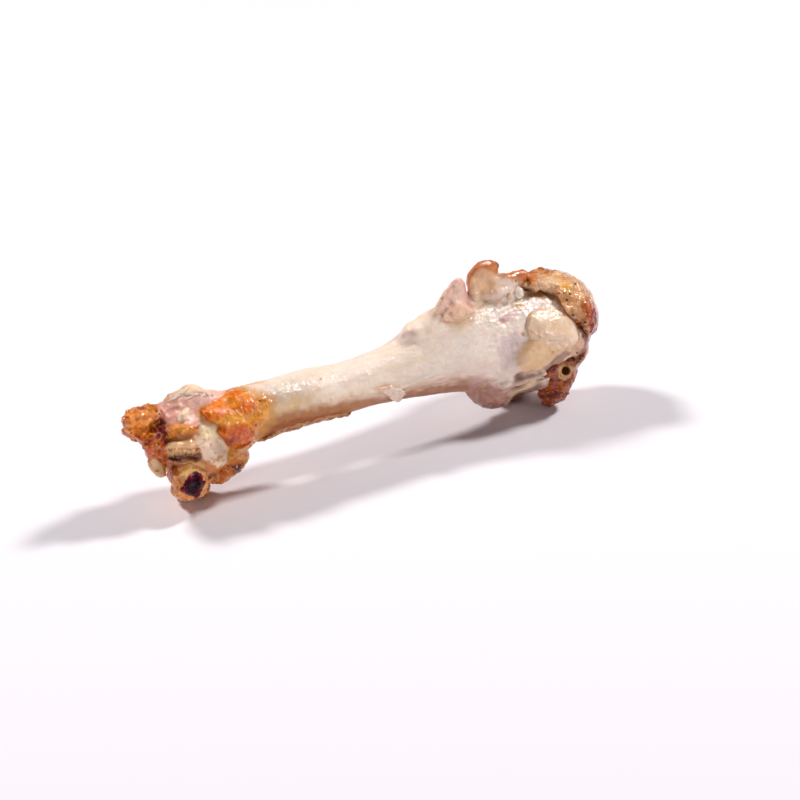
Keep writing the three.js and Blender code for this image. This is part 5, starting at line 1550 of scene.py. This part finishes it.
def specks():
    parts, cols = [], []
    black = [(517, 275, 2.0), (516, 281, 1.6), (527, 280, 2.0), (527, 277, 1.5), (575, 284, 2.3), (573, 286, 1.6), (559, 293, 2.2), (564, 293, 1.6), (566, 292, 1.3), (570, 294, 2.2),
             (567, 300, 1.9), (573, 315, 2.6), (585, 322, 2.6), (591, 332, 2.0), (580, 331, 1.6), (583, 336, 2.0), (586, 330, 1.5), (577, 353, 1.8), (555, 368, 1.6), (547, 372, 1.4), (553, 384, 1.4), (560, 392, 1.2),
             (260, 401, 1.9), (262, 400, 1.3), (256, 425, 1.5), (233, 467, 2.0), (228, 466, 1.5), (146, 427, 1.5), (131, 433, 1.5), (508, 277, 1.2), (543, 283, 1.0)]
    for k, (a, b, s) in enumerate(black):
        o, nn, _ = on(a, b)
        parts.append(lump(o, nn, s / PX * 0.55, 0.5, 20 + k))
        cols.append(rgb(34, 22, 20) if k % 3 else rgb(60, 34, 26))
    r = np.random.default_rng(8)
    # finer ones over both skins, all round
    for k in range(110):
        who = "hood" if k % 3 else "elbow_skin"
        mid = np.array((35.0, 2.5, 14.0)) if who == "hood" else np.array((-23.6, -0.5, 11.0))
        d = r.normal(size=3)
        d /= np.linalg.norm(d)
        got = hit(mid + d * 40, -d, (who, "bone"))
        if got and TREES[who].find_nearest(Vector(got[0]))[3] < 0.05:
            parts.append(lump(got[0], got[1], r.uniform(0.06, 0.15), 0.5, 60 + k))
            cols.append(mix(rgb(44, 28, 22), rgb(120, 62, 30), r.random()))
    v, f = join(parts)
    piece("specks", v, f, tinted(parts, cols), 0.5, SPECK, ())
    # browned crumbs on the tip, knob and gristle
    parts, cols = [], []
    for k in range(70):
        who, mid = [("tip", (-37, -0.5, 13.2)), ("knob", (-29.8, 0.7, 3.5)), ("gristle", (32.6, -3.6, 4.0))][k % 3]
        d = r.normal(size=3)
        d[1] -= 0.4
        d /= np.linalg.norm(d)
        got = hit(np.array(mid) + d * 30, -d, (who,))
        if not got or got[0][2] < 0.5:
            continue
        if who == "knob" and burn(np.array([got[0]]))[0] > 0.02:
            continue
        s = r.uniform(0.12, 0.28)
        parts.append(lump(got[0] + got[1] * s * 0.2, got[1], s, 0.75, 300 + k, BALL3, 0.5))
        cols.append(mix(rgb(214, 142, 74), rgb(130, 58, 28), r.random()))
    v, f = join(parts)
    piece("crumbs", v, f, tinted(parts, cols), 0.36, CRUST, ())


for make in (shape_bone, shape_disc, shape_hood, shape_curl, shape_meat, shape_gristle, shape_elbow_skin, shape_tip, shape_knob, shape_burn, shape_pouch, shape_scrap, shape_dripping):
    make()
print(f"shapes {time.time() - T0:.1f} s")
paint_bone()
paint_rest()
for make in (film, nodules, fibres, lashes, specks):
    make()

# ---------------------------------------------------------------- floor, light and camera


def lamp(name, place_mm, size, power, colour=(1, 1, 1), aim=(0, 0, 8)):
    l = bpy.data.lights.new(name, "AREA")
    l.shape = "DISK"
    l.size = size
    l.energy = power
    l.color = colour
    o = bpy.data.objects.new(name, l)
    bpy.context.scene.collection.objects.link(o)
    a, b = Vector(np.array(place_mm) / 1000), Vector(np.array(aim) / 1000)
    o.location = a
    o.rotation_euler = (b - a).to_track_quat("-Z", "Y").to_euler()
    return o


def off(angle, rise, far):
    """A place in mm round the object: angle from the view's direction, to its right, and height angle."""
    a, e = math.radians(angle), math.radians(rise)
    toward = np.array([-math.sin(_p), -math.cos(_p), 0])
    right = np.array([math.cos(_p), -math.sin(_p), 0])
    return (toward * math.cos(a) + right * math.sin(a)) * math.cos(e) * far + np.array([0, 0, math.sin(e) * far])


lamp("left_soft", off(-112, 50, 700), 0.13, 3.7, (1, 0.985, 0.97))
lamp("right_soft", off(116, 50, 700), 0.13, 3.7, (1, 0.985, 0.97))
lamp("front_soft", off(-14, 24, 800), 0.12, 0.85, (1, 0.985, 0.97))
lamp("side_soft", off(62, 9, 800), 0.15, 0.9, (1, 0.985, 0.97))

world = bpy.data.worlds.new("studio")
world.use_nodes = True
world.node_tree.nodes["Background"].inputs[0].default_value = (0.92, 0.80, 1.0, 1)
world.node_tree.nodes["Background"].inputs[1].default_value = 0.08
bpy.context.scene.world = world

me = bpy.data.meshes.new("floor")
W = 3.0
me.from_pydata([(-W, -W, 0), (W, -W, 0), (W, W, 0), (-W, W, 0)], [], [(0, 1, 2, 3)])
floor = bpy.data.objects.new("floor", me)
bpy.context.scene.collection.objects.link(floor)
fm = bpy.data.materials.new("floor_pale")
fm.use_nodes = True
fb = fm.node_tree.nodes["Principled BSDF"]
fb.inputs["Base Color"].default_value = (0.82, 0.795, 0.84, 1)
fb.inputs["Roughness"].default_value = 0.9
fb.inputs["Specular IOR Level"].default_value = 0.1
me.materials.append(fm)

cam = bpy.data.cameras.new("camera")
cam.lens = LENS
cam.sensor_width = 36
cam.clip_start = 0.01
co = bpy.data.objects.new("camera", cam)
bpy.context.scene.collection.objects.link(co)
rot = Matrix(((RIGHT[0], UP[0], BACK[0]), (RIGHT[1], UP[1], BACK[1]), (RIGHT[2], UP[2], BACK[2])))
co.matrix_world = Matrix.Translation(Vector((EYE + SHIFT) / 1000)) @ rot.to_4x4()
bpy.context.scene.camera = co
vs = bpy.context.scene.view_settings
vs.view_transform = "Standard"
vs.look = "None"
vs.exposure = 0
vs.gamma = 1
